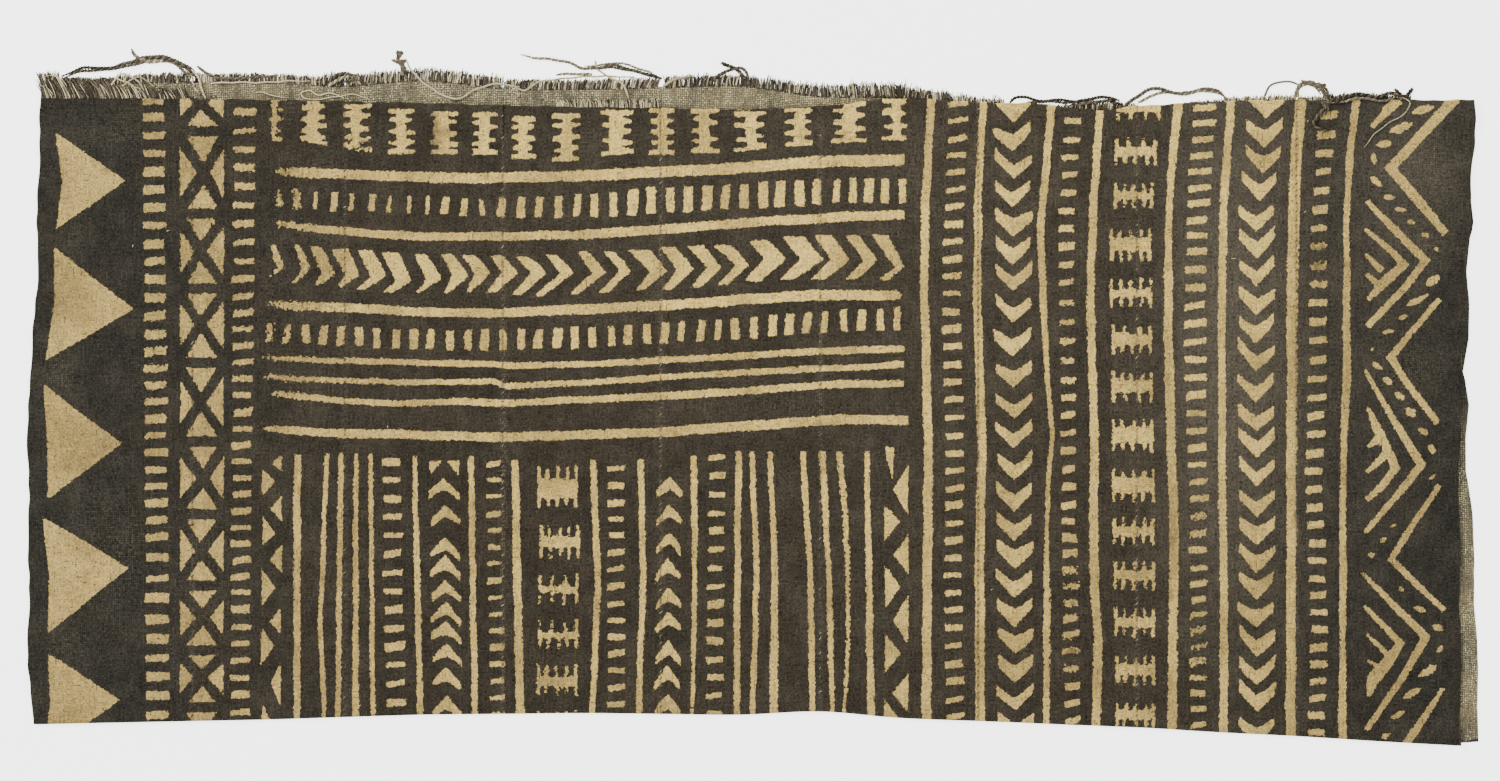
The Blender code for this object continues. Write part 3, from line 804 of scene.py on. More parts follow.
LOWER_PANEL = (
    Spikes(((-309.5, -43.5, -309.5, -61.5, -301.5, -52), (-309.5, -74.5, -309.5, -93, -301, -84),
    (-310, -107.5, -310, -130.5, -301, -119), (-310, -144.5, -310, -167, -301.5, -155.5),
    (-309.5, -192, -309.5, -222, -301, -207), (-297.5, -35.5, -297.5, -46, -303, -40.5),
    (-297.5, -61, -297.5, -77, -304.5, -69), (-297.5, -92, -297.5, -109.5, -304.5, -101),
    (-297.5, -131, -297.5, -148.5, -304.5, -140), (-297.5, -165, -297.5, -193, -304.5, -179),
    (82.5, -29.5, 89, -31, 87.5, -51.5), (82.5, -66, 82.5, -89, 92.5, -77.5),
    (82.5, -104.5, 82.5, -132.5, 93, -118), (82.5, -148, 82.5, -172.5, 93, -160),
    (82.5, -189.5, 82.5, -215, 92.5, -202), (97.5, -40.5, 97.5, -72.5, 88, -57.5),
    (97.5, -85.5, 97.5, -110.5, 88, -98), (97.5, -124, 97.5, -155.5, 88, -140),
    (97.5, -172.5, 97.5, -198, 88, -185),)),
    *(line_along(places, widths, start) for start, places, widths
    in ((-35, (-40, -287.5), (-40, 4.6, -198, 4)),
    (-34, (-34, -268.5, -141, -273, -198, -270.5), (-34, 3)),
    (-34, (-34, -260, -198, -262), (-34, 3.3)), (-34, (-34, -250.5), (-34, 2.9, -198, 4)),
    (-34, (-34, -241.5, -198, -239.5), (-34, 2.9)),
    (-36, (-36, -213.5, -198, -210), (-36, 2.6, -90, 3.6, -198, 3.6)),
    (-36, (-36, -178, -198, -175.5), (-36, 3.7)),
    (-38, (-38, -150.5, -198, -147), (-38, 4.4, -198, 5.2)),
    (-38, (-38, -101, -120, -98, -198, -101.5), (-38, 4)),
    (-38, (-38, -71, -110, -69.5, -198, -72.5), (-38, 3.8)),
    (-36, (-36, -38, -110, -37, -198, -38.5), (-36, 4.2, -198, 2.1)),
    (-33, (-33, -9.5, -198, -10.5), (-33, 3.9)), (-33, (-33, -1, -110, 2, -198, -0.5), (-33, 3.4)),
    (-33, (-33, 10.5, -110, 13.5, -198, 12.5), (-33, 2.7, -198, 5.5)),
    (-33, (-33, 31, -110, 36, -198, 37.5), (-33, 3.6)),
    (-33, (-33, 43, -110, 47.5, -198, 49.5), (-33, 4.5, -198, 2.4)), (-33,
    (-33, 54, -80, 58.5, -140, 59.5, -198, 57.5), (-33, 3.7, -198, 2)),
    (-33, (-33, 71.5, -198, 74), (-33, 3.2, -198, 4.6)),)),
    Dashes((-40, -228.5, -198, -225), Beat((0, -39.5, 13, -191)), (-40, 11, -198, 12.5), (3, 5.6), 0.3),
    Spikes(((-196.1, -39, -203.4, -47.4, -204.3, -39), (-193.3, -39, -185.7, -48.5, -185.5, -39.2))),
    Chevrons(Pointing.ENDS, (-40, -195, -198, -193), Beat((0, -49.4, 1, -67, 2, -85.9, 3, -98, 4, -113.5, 6,
    -140, 7, -153.3, 8, -168.7, 9, -186.4), 0.5), (9, 9.2), (9.6, 10.4), (7, 9.6), (3.2, 5.4)),
    Dashes((-40, -164, -198, -161), Beat((0, -40.5, 15, -198.5)), (-40, 8.6, -198, 9.2), (2.3, 4.2), 0.3),
    Combs(((-68.5, -62.5, -50, -41.5, -111, -136, -136),
    (-100.5, -93.5, -86.5, -79, -109.5, -134.5, -134.5),
    (-129.5, -122, -117.5, -109.5, -110.5, -135.5, -135.5, 4, 4),
    (-157.5, -151.5, -146.5, -138.5, -110.5, -135.5, -135.5, 5, 4),
    (-187, -180.5, -174.5, -167, -111, -136.5, -136.5), *((place - 9.5, place - 3.5, place + 3.5, place
    + 9.5, -111.5, -136.5, -136.5) for place in (-205, -236, -266, -297)),), 1.9, False),
    Dashes((-40, -86.5), Beat((0, -44, 14, -192)), (-40, 10.8), (2.7, 4.6), 0.3),
    Chevrons(Pointing.ENDS, (-40, -53, -198, -54.5), Beat((0, -49, 8, -185), 0.8), (7.8, 7.8), (9.6, 9.6),
    (7.8, 10), (3.6, 6)),
    Dashes((-40, -23, -198, -25), Beat((0, -37, 14, -198.5)), (-40, 10.4), (2.9, 4.9), 0.3),
)

RIGHT_COLUMNS = (
    line_along((187, 112, 130, 108.5, 68.5, 107.5, -32, 110.5, -100, 109.5, -200, 109),
    (187, 4.8, 0, 5.3, -100, 5.8)),
    Dashes((186, 129, 130, 127, 60, 124.5, -40, 127, -120, 125.5, -200, 127),
    Beat((0, 186, 10, 77.5, 20, -34, 28, -122, 35, -200)), (186, 12.2, -200, 11), (2.9, 4.8), 0.6),
    line_along((187, 144.5, 130, 141.5, 60, 141, -35, 144, -100, 142.5, -200, 142.5),
    (187, 4.4, 0, 5.2, -100, 5.8)),
    Chevrons(Pointing.FOLD, (180, 163.5, 0, 163.8, -200, 164.8),
    Beat((0, 174, 6, 67, 10, -12, 13, -70, 20, -197.5), 1), (11.2, 11.2), (11.2, 11), (8.4, 12.2),
    (5.6, 8.6)),
    line_along((187, 187.5, 150, 184.5, 110, 181, 40, 183.5, -22, 188, -60, 185, -200, 184.5),
    (187, 4.7, 60, 4, -20, 2.6, -80, 2.4, -125, 4.4, -200, 4)),
    Dashes((186, 202, 110, 197, -40, 198.5, -66, 198.5, -190, 201),
    Beat((0, 175, 9, 73.5, 14, 12, 21, -66.5, 30, -159, 34, -202.5)), (186, 10.6, 0, 8.8, -200, 9.6),
    (3.2, 5), 0.3),
    line_along((187, 218.5, 130, 214.5, 60, 212, -20, 214.5, -120, 214.5, -150, 217.5, -200, 216),
    (187, 4.7, 0, 4.9, -100, 5.6)),
    Combs(((175, 180.5, 185.5, 190.5, 256, 228.5, 228.5, 4, 4),
    (146.5, 152.5, 159, 164.5, 254, 227.5, 227.5, 5, 4), (119.5, 125.5, 130.5, 136.5, 252, 227, 227),
    (86.5, 93, 102, 107.5, 250.5, 224.5, 224.5), (56.5, 64.5, 69.5, 76.5, 251, 224.5, 224.5),
    (27.5, 34, 41, 47.5, 251, 225.5, 225.5, 5, 4), (-2.5, 4, 12, 18, 251.5, 225.5, 225.5, 4, 5),
    (-33.5, -27.5, -17.5, -12.5, 252, 226, 226), (-65, -59, -49, -43.5, 252.5, 226, 226),
    (-92, -86.5, -80.5, -74.5, 252.5, 226.5, 226.5), (-121, -114, -108, -102, 253, 227, 227),
    (-151, -144, -138, -131, 253, 227.5, 227.5), (-180, -174, -167, -161.5, 253, 228, 228),
    *((place - 8.5, place - 3, place + 3, place + 7.5, 253, 228, 228) for place
    in (-199, -229, -260, -291)),), 2.1, False),
    line_along((187, 267.5, 140, 263, 106, 261.5, 40, 261.5, -30, 263.5, -80, 265, -200, 263.5),
    (187, 5.7, 140, 4.5, 106, 3.6, 75, 5.4, -200, 5.8)),
    Dashes((184, 284.5, 140, 281, 80, 278, -40, 279.5, -60, 280.5, -200, 280),
    Beat((0, 183.5, 9, 93, 18, -9, 27, -106, 37, -205)), (184, 14.4, 0, 13, -40, 11.8, -120, 10),
    (3, 4.9), 0.4),
    line_along((187, 301, 140, 297.5, 116, 296, 60, 295, -60, 295, -120, 296.5, -200, 296),
    (187, 5.1, 0, 4.6, -200, 5.1)),
    Chevrons(Pointing.FOLD, (187, 323.5, 150, 321.5, 125, 319, 107, 316.5, 60, 316.5, -200, 317),
    Beat((0, 177, 6, 71, 12, -38, 17, -127, 21, -198), 1), (11, 11), (12, 11), (8.8, 12.4), (5.8, 8.8)),
    line_along((187, 345, 160, 342, 122, 341, 70, 339.5, -200, 338.5),
    (187, 6.4, 160, 7, 70, 7.2, 20, 6.3, -200, 6.3)),
    Dashes((178.5, 362.5, 151, 359, 106, 356, 0, 355, -50, 353, -100, 355, -145, 356.5, -200, 355),
    Beat((0, 178.5, 9, 72.5, 18, -34.5, 24, -102, 33, -199.5)),
    (178.5, 11.8, 120, 9.2, 60, 11.2, -200, 10), (3.6, 5.3), 0.2),
    line_along((187, 379.5, 155, 376, 115, 373.5, 15, 374, -25, 372, -65, 371, -120, 371.5, -200, 371),
    (187, 4.8, 115, 3.5, 70, 4.5, 15, 5.2, -60, 3.5, -120, 4.8, -150, 3.5, -200, 5.1)),
)

RIGHT_BORDER = (
    Bands((((443.5, 191, 7), (423, 169, 6.2), (401.5, 145, 5.8), (416.5, 128, 6.2), (436, 104.5, 4.6)),
    ((432, 63, 3.6), (413.5, 41, 3.6), (401.5, 26, 4.6), (413.5, 7.5, 4.2), (431, -15, 4.2)),
    ((432, -54, 3.4), (413, -82.5, 3.8), (401.5, -101, 4.2), (417.5, -116.5, 3.8), (435, -133, 3.2)),
    ((434.5, -182, 2.4), (423, -199.5, 4.4), (408, -222, 5.4)), ((386.5, 125, 2.8), (404, 106.5, 4.8),
    (423.5, 87, 4.9), (410.5, 70, 4.4), (387, 45.5, 3.9)), ((385, 18.5, 2.2), (402.5, -12.5, 4.2),
    (420.5, -41.5, 5.2), (407.5, -58.5, 4.2), (385, -84.5, 3)), ((383.5, -109.5, 2.2),
    (403.5, -130, 4.2), (423.5, -150, 5.2), (407.5, -177, 4.2), (386, -208.5, 3.4)),
    ((406.5, 188.5, 6.6), (398.5, 181, 5.4), (389, 171.5, 2.6)), ((385, 107, 2.2), (402, 93.5, 3.8),
    (409.5, 84.5, 5), (399, 75.5, 6.4), (387, 62.5, 2.8)), ((385, 91.5, 2), (396, 81, 4.4)),
    ((385.5, 79.5, 2), (393, 73, 4.4)), ((387, -5, 1.8), (392, -17, 5.6), (400, -33, 5.2),
    (404.5, -43.5, 5.4), (398, -53, 4.4), (386.5, -63.5, 3.4)), ((387, -30, 1.6), (394.5, -24.5, 6)),
    ((386.5, -46, 2.2), (398, -35.5, 5.6)), ((384.5, -130.5, 2.4), (398, -144, 3.6),
    (407.5, -153.5, 4.6), (400, -165, 7.2), (390.5, -176.5, 8.2), (387, -187, 2.4)),
    ((386, -147.5, 1.8), (399.5, -161, 3.4)), ((387, -164.5, 1.8), (395, -169.5, 3.2)),)),
    Grains(((414, 180, 429.5, 184.5, 4.4), (399.5, 167.5, 416, 174, 5), (392, 160, 402.5, 161.5, 4.4),
    (391, 155, 391, 147.5, 3.8), (388, 140.5, 396.5, 133.5, 3.8), (396, 127.5, 404, 127, 3.1),
    (403.5, 120.5, 411.5, 118.5, 3.5), (411.5, 112, 418, 111, 2.5), (420.5, 104.5, 425.5, 102.5, 2.8),
    (428.5, 96, 432, 93, 1.9), (423, 71, 432.5, 78, 5), (411.5, 58.5, 425.5, 66, 3.8),
    (405.5, 50.5, 412.5, 52.5, 2.2), (396, 41.5, 404, 43.5, 2.8), (388, 30.5, 391.5, 32, 1.9),
    (389.5, 23.5, 396.5, 18.5, 3.1), (396.5, 13, 402.5, 9.5, 3.5), (403.5, 4, 411, -0.5, 3.8),
    (410.5, -6, 417.5, -10.5, 5), (418, -18.5, 425.5, -22.5, 3.8), (424.5, -29, 429.5, -34, 3.8),
    (425.5, -51, 429.5, -47, 1.6), (401, -80.5, 405.5, -79, 1.9), (394.5, -90, 398.5, -88, 2.5),
    (387, -99, 391.5, -97.5, 3.1), (406, -118.5, 410, -121, 2.2), (415.5, -131, 424, -134, 3.5),
    (427.5, -142.5, 435, -145.5, 4.4), (430, -159.5, 434, -155.5, 2.8), (418.5, -175, 431, -167.5, 4.7),
    (408.5, -189, 420.5, -182, 3.8), (401.5, -201.5, 410, -196.5, 3.5),
    (395.5, -213.5, 401.5, -210.5, 3.1),)),
)

STAINS = tuple(Blot(*row) for row in ((-420, -35, 14, 20, 0.45), (-438, 60, 9, 16, 0.35),
    (-430, -120, 16, 14, 0.25), (-345, 0, 14, 60, 0.3), (-203.5, 169, 5.5, 18, 1.4),
    (184.5, -70, 5, 45, 0.5), (-378, 189, 9, 4, 0.8), (-378, 176, 9, 7, 0.3), (184.5, 40, 5, 50, 0.35),
    (215, -130, 6, 60, 0.35), (263, -80, 6, 26, 0.6), (262, 30, 6, 40, 0.3), (356, 95, 12, 22, 0.7),
    (374, 0, 6, 60, 0.35), (340, 10, 5, 70, 0.2), (280, -150, 12, 34, 0.55), (10, -120, 30, 60, 0.25),
    (-100, 100, 60, 14, 0.15), (200, -132, 9, 24, 0.55), (410, 35, 14, 16, 0.35),
    (-425, -190, 24, 26, 0.3),))
# Where the back layer's reverse is darkened: a band along its right edge, beside the front layer's edge.
REVERSE_DARK_BAND = tuple(Blot(*row) for row in ((456, -445, 16, 42, 1), (456, -540, 16, 100, 1),))
FAINT = tuple(Blot(*row) for row in ((199, -118, 12, 16, 0.62), (199, -160, 12, 9, 0.8),
    (280, -152, 12, 22, 0.62), (280, -76, 10, 8, 0.6), (356, 88, 11, 14, 0.6), (240, 60, 16, 150, 0.2),
    (240, -130, 16, 90, 0.24), (57, -120, 8, 70, 0.25), (-344, 110, 20, 70, 0.25), (-300, 172, 14, 14, 0.5),
    (-125, -150, 14, 70, 0.35), (-376, 20, 12, 30, 0.3), (-296, 126, 12, 10, 0.8), (-302, 44, 10, 12, 0.6),
    (-298, 143, 16, 5, 0.7), (-294, 110, 18, 5, 0.7), (-296, 60, 22, 5, 0.45), (-285, 82, 22, 16, 0.4),
    (-300, 16, 24, 22, 0.35), (-247, 160, 12, 6, 0.5), (200, 40, 9, 30, 0.3), (92, 75, 8, 20, 0.35),))
FADED = tuple(Blot(*row) for row in ((298, 60, 40, 190, 0.92), (285, -60, 24, 70, 0.15),
    (-120, 90, 130, 90, 0.14), (60, 150, 150, 50, 0.16), (160, 110, 70, 100, 0.2), (415, 150, 40, 50, 0.5),
    (-430, -20, 10, 150, 0.1), (150, -40, 110, 190, 0.18), (345, 0, 26, 240, 0.16),
    (395, 60, 36, 180, 0.27), (-20, -60, 110, 160, 0.09), (-276, -20, 50, 200, 0.09),))
WARMTH = (-450, 0.05, -385, 0.22, -340, 0.45, -250, 0.72, -150, 0.88, 250, 0.95, 340, 0.55, 378, 0.12, 455,
    0.05)
PALENESS = (-450, 0, -300, 0.15, -200, 0.7, -60, 1, 260, 0.92, 340, 0.68, 380, 0.36, 455, 0.18)
PALER_UP = (-220, 0.4, -60, 0.72, 80, 1)
WORN = tuple(Blot(*row) for row in ((428, 150, 10, 24, 0.9), (424, 95, 12, 20, 0.7),
    (-400, -100, 22, 40, 0.6), (-438, 16, 9, 16, 0.7), (-400, 168, 20, 12, 0.6), (-385, 12, 8, 20, 0.5),
    (130, -170, 12, 20, 0.5), (419, 22, 12, 16, 0.6), (-430, -152, 22, 10, 0.5), (-345, -120, 16, 60, 0.4),
    (0, -2, 90, 8, 0.35), (-157, -40, 3, 120, 0.8), (-58.5, 60, 2.5, 120, 0.8), (42, 80, 2.5, 110, 0.7),))


@dataclass(frozen=True)
class Pattern:
    """The whole painted pattern: what is bare, and how far each place is from its edge."""

    motifs: tuple = (*LEFT_BORDER, *UPPER_PANEL, *LOWER_PANEL, *RIGHT_COLUMNS, *RIGHT_BORDER)
    seed: int = 73
    far: float = 3.0

    @cached_property
    def polygons(self) -> list[Array]:
        """Outlines of every motif, with the same unevenness each time."""
        rng = Random(self.seed)
        return [outline for motif in self.motifs for outline in motif.polygons(rng)]

    def distance(self, x: Array, y: Array) -> Array:
        """Measure how far places lie inside the bare ground.

        Args:
            x: Places across the cloth.
            y: Places along it.

        Returns:
            Millimetres from the nearest edge, below zero where the cloth is dyed.
        """
        found = np.full(x.shape, -self.far)
        left, right = x.min(), x.max()
        for outline in self.polygons:
            low, high = outline.min(axis=0) - self.far, outline.max(axis=0) + self.far
            if low[0] > right or high[0] < left:
                continue
            near = np.nonzero((x > low[0]) & (x < high[0]) & (y > low[1]) & (y < high[1]))[0]
            if len(near):
                found[near] = np.maximum(found[near], self.inside(outline, x[near], y[near]))
        return np.minimum(found, self.far)

    def inside(self, outline: Array, x: Array, y: Array) -> Array:
        """Signed distance to one outline, above zero inside it."""
        nearest = np.full(x.shape, np.inf)
        within = np.zeros(x.shape, bool)
        for (x_one, y_one), (x_two, y_two) in zip(outline, np.roll(outline, -1, axis=0)):
            run_x, run_y = x_two - x_one, y_two - y_one
            share = ((x - x_one) * run_x + (y - y_one) * run_y) / max(run_x**2 + run_y**2, 1e-9)
            share = np.clip(share, 0, 1)
            nearest = np.minimum(nearest, (x - x_one - run_x * share)**2 + (y - y_one - run_y * share)**2)
            if y_one != y_two:
                crossed = ((y_one > y) != (y_two > y)) & (x < run_x * (y - y_one) / run_y + x_one)
                within ^= crossed
        return np.where(within, np.sqrt(nearest), -np.sqrt(nearest))


def blots(rows: tuple[Blot, ...], x: Array, y: Array) -> Array:
    """Add up soft patches at places, up to 1."""
    total = np.zeros_like(x)
    for row in rows:
        total += row.amount * np.exp(-((x - row.x) / row.half_x)**2 - ((y - row.y) / row.half_y)**2)
    return np.clip(total, 0, 1)


def seam_closeness(x: Array, half_width: float) -> Array:
    """Fall from 1 on a seam to 0 away from it."""
    away = np.min(np.abs(x[..., None] - np.array(SEAMS)), axis=-1)
    return np.exp(-(away / half_width)**2)


class Graph:
    """Adds shader nodes to one tree and joins them."""

    def __init__(self, tree: bpy.types.NodeTree) -> None:
        """Keep the tree that the nodes go into."""
        self.tree = tree

    def feed(self, socket: Socket, value: Value) -> None:
        """Join a socket to another one, or set its own value.

        Args:
            socket: The socket.
            value: The other socket, a number, a vector or a colour without alpha.
        """
        if isinstance(value, Socket):
            self.tree.links.new(value, socket)
        else:
            socket.default_value = (*value, 1.0) if socket.type == "RGBA" else value

    def add(self, kind: str, inputs: dict[str | int, Value] | None = None, **settings: object) -> Node:
        """Add a node.

        Args:
            kind: Its type, without the usual prefix.
            inputs: What its sockets get.
            settings: Its own options.

        Returns:
            The node.
        """
        node = self.tree.nodes.new("ShaderNode" + kind)
        for name, value in settings.items():
            setattr(node, name, value)
        for name, value in (inputs or {}).items():
            self.feed(node.inputs[name], value)
        return node

    def math(self, operation: str, *values: Value) -> Socket:
        """Work out one number."""
        return self.add("Math", dict(enumerate(values)), operation=operation).outputs[0]

    def times(self, first: Value, second: Value) -> Socket:
        """Multiply two numbers."""
        return self.math("MULTIPLY", first, second)

    def line(self, value: Value, slope: float, start: Value) -> Socket:
        """Multiply a number by a slope and add a start."""
        return self.math("MULTIPLY_ADD", value, slope, start)

    def limit(self, value: Value) -> Socket:
        """Keep a number between 0 and 1."""
        return self.math("MAXIMUM", self.math("MINIMUM", value, 1), 0)

    def rise(self, value: Value, low: float, high: float, start: float = 0.0, end: float = 1.0) -> Socket:
        """Change smoothly from start to end while a value goes from low to high."""
        limits = {"Value": value, "From Min": low, "From Max": high, "To Min": start, "To Max": end}
        return self.add("MapRange", limits, interpolation_type="SMOOTHSTEP").outputs["Result"]

    def mix(self, share: Value, first: Value, second: Value, way: str = "MIX") -> Socket:
        """Mix two colours."""
        return self.add("Mix", {0: share, 6: first, 7: second}, data_type="RGBA", blend_type=way).outputs[2]

    def shade(self, colour: Value, grey: Value) -> Socket:
        """Multiply a colour by a grey."""
        greys = self.add("CombineColor", {"Red": grey, "Green": grey, "Blue": grey}).outputs[0]
        return self.mix(1, colour, greys, "MULTIPLY")

    def blend(self, share: Value, first: Value, second: Value) -> Socket:
        """Mix two numbers."""
        return self.add("Mix", {0: share, 2: first, 3: second}, data_type="FLOAT").outputs[0]

    def noise(self, vector: Value, scale: float, detail: float = 1.0) -> Node:
        """Add smooth flat noise, its scale in features a millimetre."""
        return self.add("TexNoise", {"Vector": vector, "Scale": scale, "Detail": detail},
            noise_dimensions="2D")

    def drawn(self, vector: Value, x: float, y: float, detail: float = 1.0) -> Socket:
        """Add noise with a scale of its own each way."""
        place = self.add("VectorMath", {0: vector, 1: (x, y, 0.0)}, operation="MULTIPLY").outputs[0]
        return self.noise(place, 1, detail).outputs["Fac"]

    def pair(self, x: Value, y: Value) -> Socket:
        """Make a flat vector."""
        return self.add("CombineXYZ", {"X": x, "Y": y}).outputs[0]

    def attribute(self, name: str, output: str = "Fac") -> Socket:
        """Read a value that the mesh carries."""
        return self.add("Attribute", attribute_name=name).outputs[output]


@dataclass(frozen=True)
class Weave:
    """Plain handspun weave as a node group, in the cloth's own millimetres."""

    warp_pitch: float = 1.34
    weft_pitch: float = 1.42
    slub: float = 1.1
    name: str = "handspun_weave"

    def group(self) -> bpy.types.NodeTree:
        """Build the group.

        Returns:
            A group from a Cloth vector to Height, Tone, Ragged and Crown.
        """
        tree = bpy.data.node_groups.new(self.name, "ShaderNodeTree")
        tree.interface.new_socket("Cloth", in_out="INPUT", socket_type="NodeSocketVector")
        graph = Graph(tree)
        cloth = tree.nodes.new("NodeGroupInput").outputs["Cloth"]
        slub = graph.noise(cloth, 0.16, 2).outputs["Color"]
        shift = graph.add("VectorMath", {0: slub, 1: (self.slub, self.slub, 0.0), 2: cloth},
            operation="MULTIPLY_ADD")
        place = graph.add("SeparateXYZ", {"Vector": shift.outputs[0]})
        x, y = place.outputs["X"], place.outputs["Y"]
        warp, weft = graph.math("DIVIDE", x, self.warp_pitch), graph.math("DIVIDE", y, self.weft_pitch)
        warp_number, weft_number = graph.math("FLOOR", warp), graph.math("FLOOR", weft)
        one_warp, one_weft = graph.pair(warp_number, y), graph.pair(x, weft_number)
        count = graph.math("ADD", graph.math("ADD", warp_number, weft_number), 20000)
        over = graph.math("GREATER_THAN", graph.math("MODULO", count, 2), 0.5)
        fibre = graph.line(graph.noise(cloth, 0.85).outputs["Fac"], 0.9, -0.45)
        yarn_tone = graph.blend(over, graph.drawn(one_warp, 5.71, 0.11), graph.drawn(one_weft, 0.16, 7.13))
        tone = graph.math("ADD", yarn_tone, fibre)
        bells = [self.bell(graph, value) for value in (warp, weft)]
        tops = [graph.times(bell, graph.line(other, 0.55, 0.45)) for bell, other in (bells, bells[::-1])]
        crown = graph.blend(over, *tops)
        ragged = graph.math("ADD", graph.drawn(one_weft, 0.4, 3.91), graph.drawn(one_warp, 4.37, 0.4))
        results = {"Height": graph.times(crown, graph.line(tone, 0.9, 0.55)),
            "Tone": graph.math("SUBTRACT", tone, 0.5), "Ragged": graph.math("SUBTRACT", ragged, 1),
            "Crown": crown}
        out = tree.nodes.new("NodeGroupOutput")
        for name, socket in results.items():
            tree.interface.new_socket(name, in_out="OUTPUT", socket_type="NodeSocketFloat")
            graph.feed(out.inputs[name], socket)
        return tree

    def bell(self, graph: Graph, value: Socket) -> Socket:
        """Round profile of one yarn across its pitch."""
        part = graph.math("FRACT", value)
        return graph.times(graph.times(part, graph.math("SUBTRACT", 1, part)), 4)


class ClothGraph(Graph):
    """The nodes of a cloth material, with the cloth's own place and its weave there."""

    def __init__(self, tree: bpy.types.NodeTree, weave: bpy.types.NodeTree) -> None:
        """Read the cloth's place from the mesh and feed it to the weave.

        Args:
            tree: The material's tree.
            weave: The weave group.
        """
        super().__init__(tree)
        self.cloth = self.attribute("cloth", "Vector")
        woven = self.add("Group", node_tree=weave)
        self.feed(woven.inputs["Cloth"], self.cloth)
        self.height, self.tone, self.ragged, self.crown = woven.outputs

    def cloud(self, scale: float, detail: float, *limits: float) -> Socket:
        """Noise over the cloth, changed as rise does it."""
        return self.rise(self.noise(self.cloth, scale, detail).outputs["Fac"], *limits)


@dataclass(frozen=True)
class Finish:
    """A matt fibre finish."""

    name: str
    roughness: float = 0.95
    shine: float = 0.06
    bump: float = 0.45
    bump_height: float = 0.00022

    def look(self, graph: Graph) -> tuple[Socket, Socket]:
        """Work out what is seen and felt.

        Args:
            graph: The material's nodes.

        Returns:
            The colour and the height.
        """
        raise NotImplementedError

    def material(self, weave: bpy.types.NodeTree | None = None) -> Material:
        """Build the material.

        Args:
            weave: The weave group, where the finish is a cloth's.

        Returns:
            The material.
        """
        made = bpy.data.materials.new(self.name)
        made.use_nodes = True
        graph = ClothGraph(made.node_tree, weave) if weave else Graph(made.node_tree)
        colour, height = self.look(graph)
        bump = graph.add("Bump", {"Height": height, "Strength": self.bump, "Distance": self.bump_height})
        shader = made.node_tree.nodes["Principled BSDF"]
        for name, value in (("Base Color", colour), ("Roughness", self.roughness),
            ("Specular IOR Level", self.shine), ("Normal", bump.outputs[0])):
            graph.feed(shader.inputs[name], value)
        return made


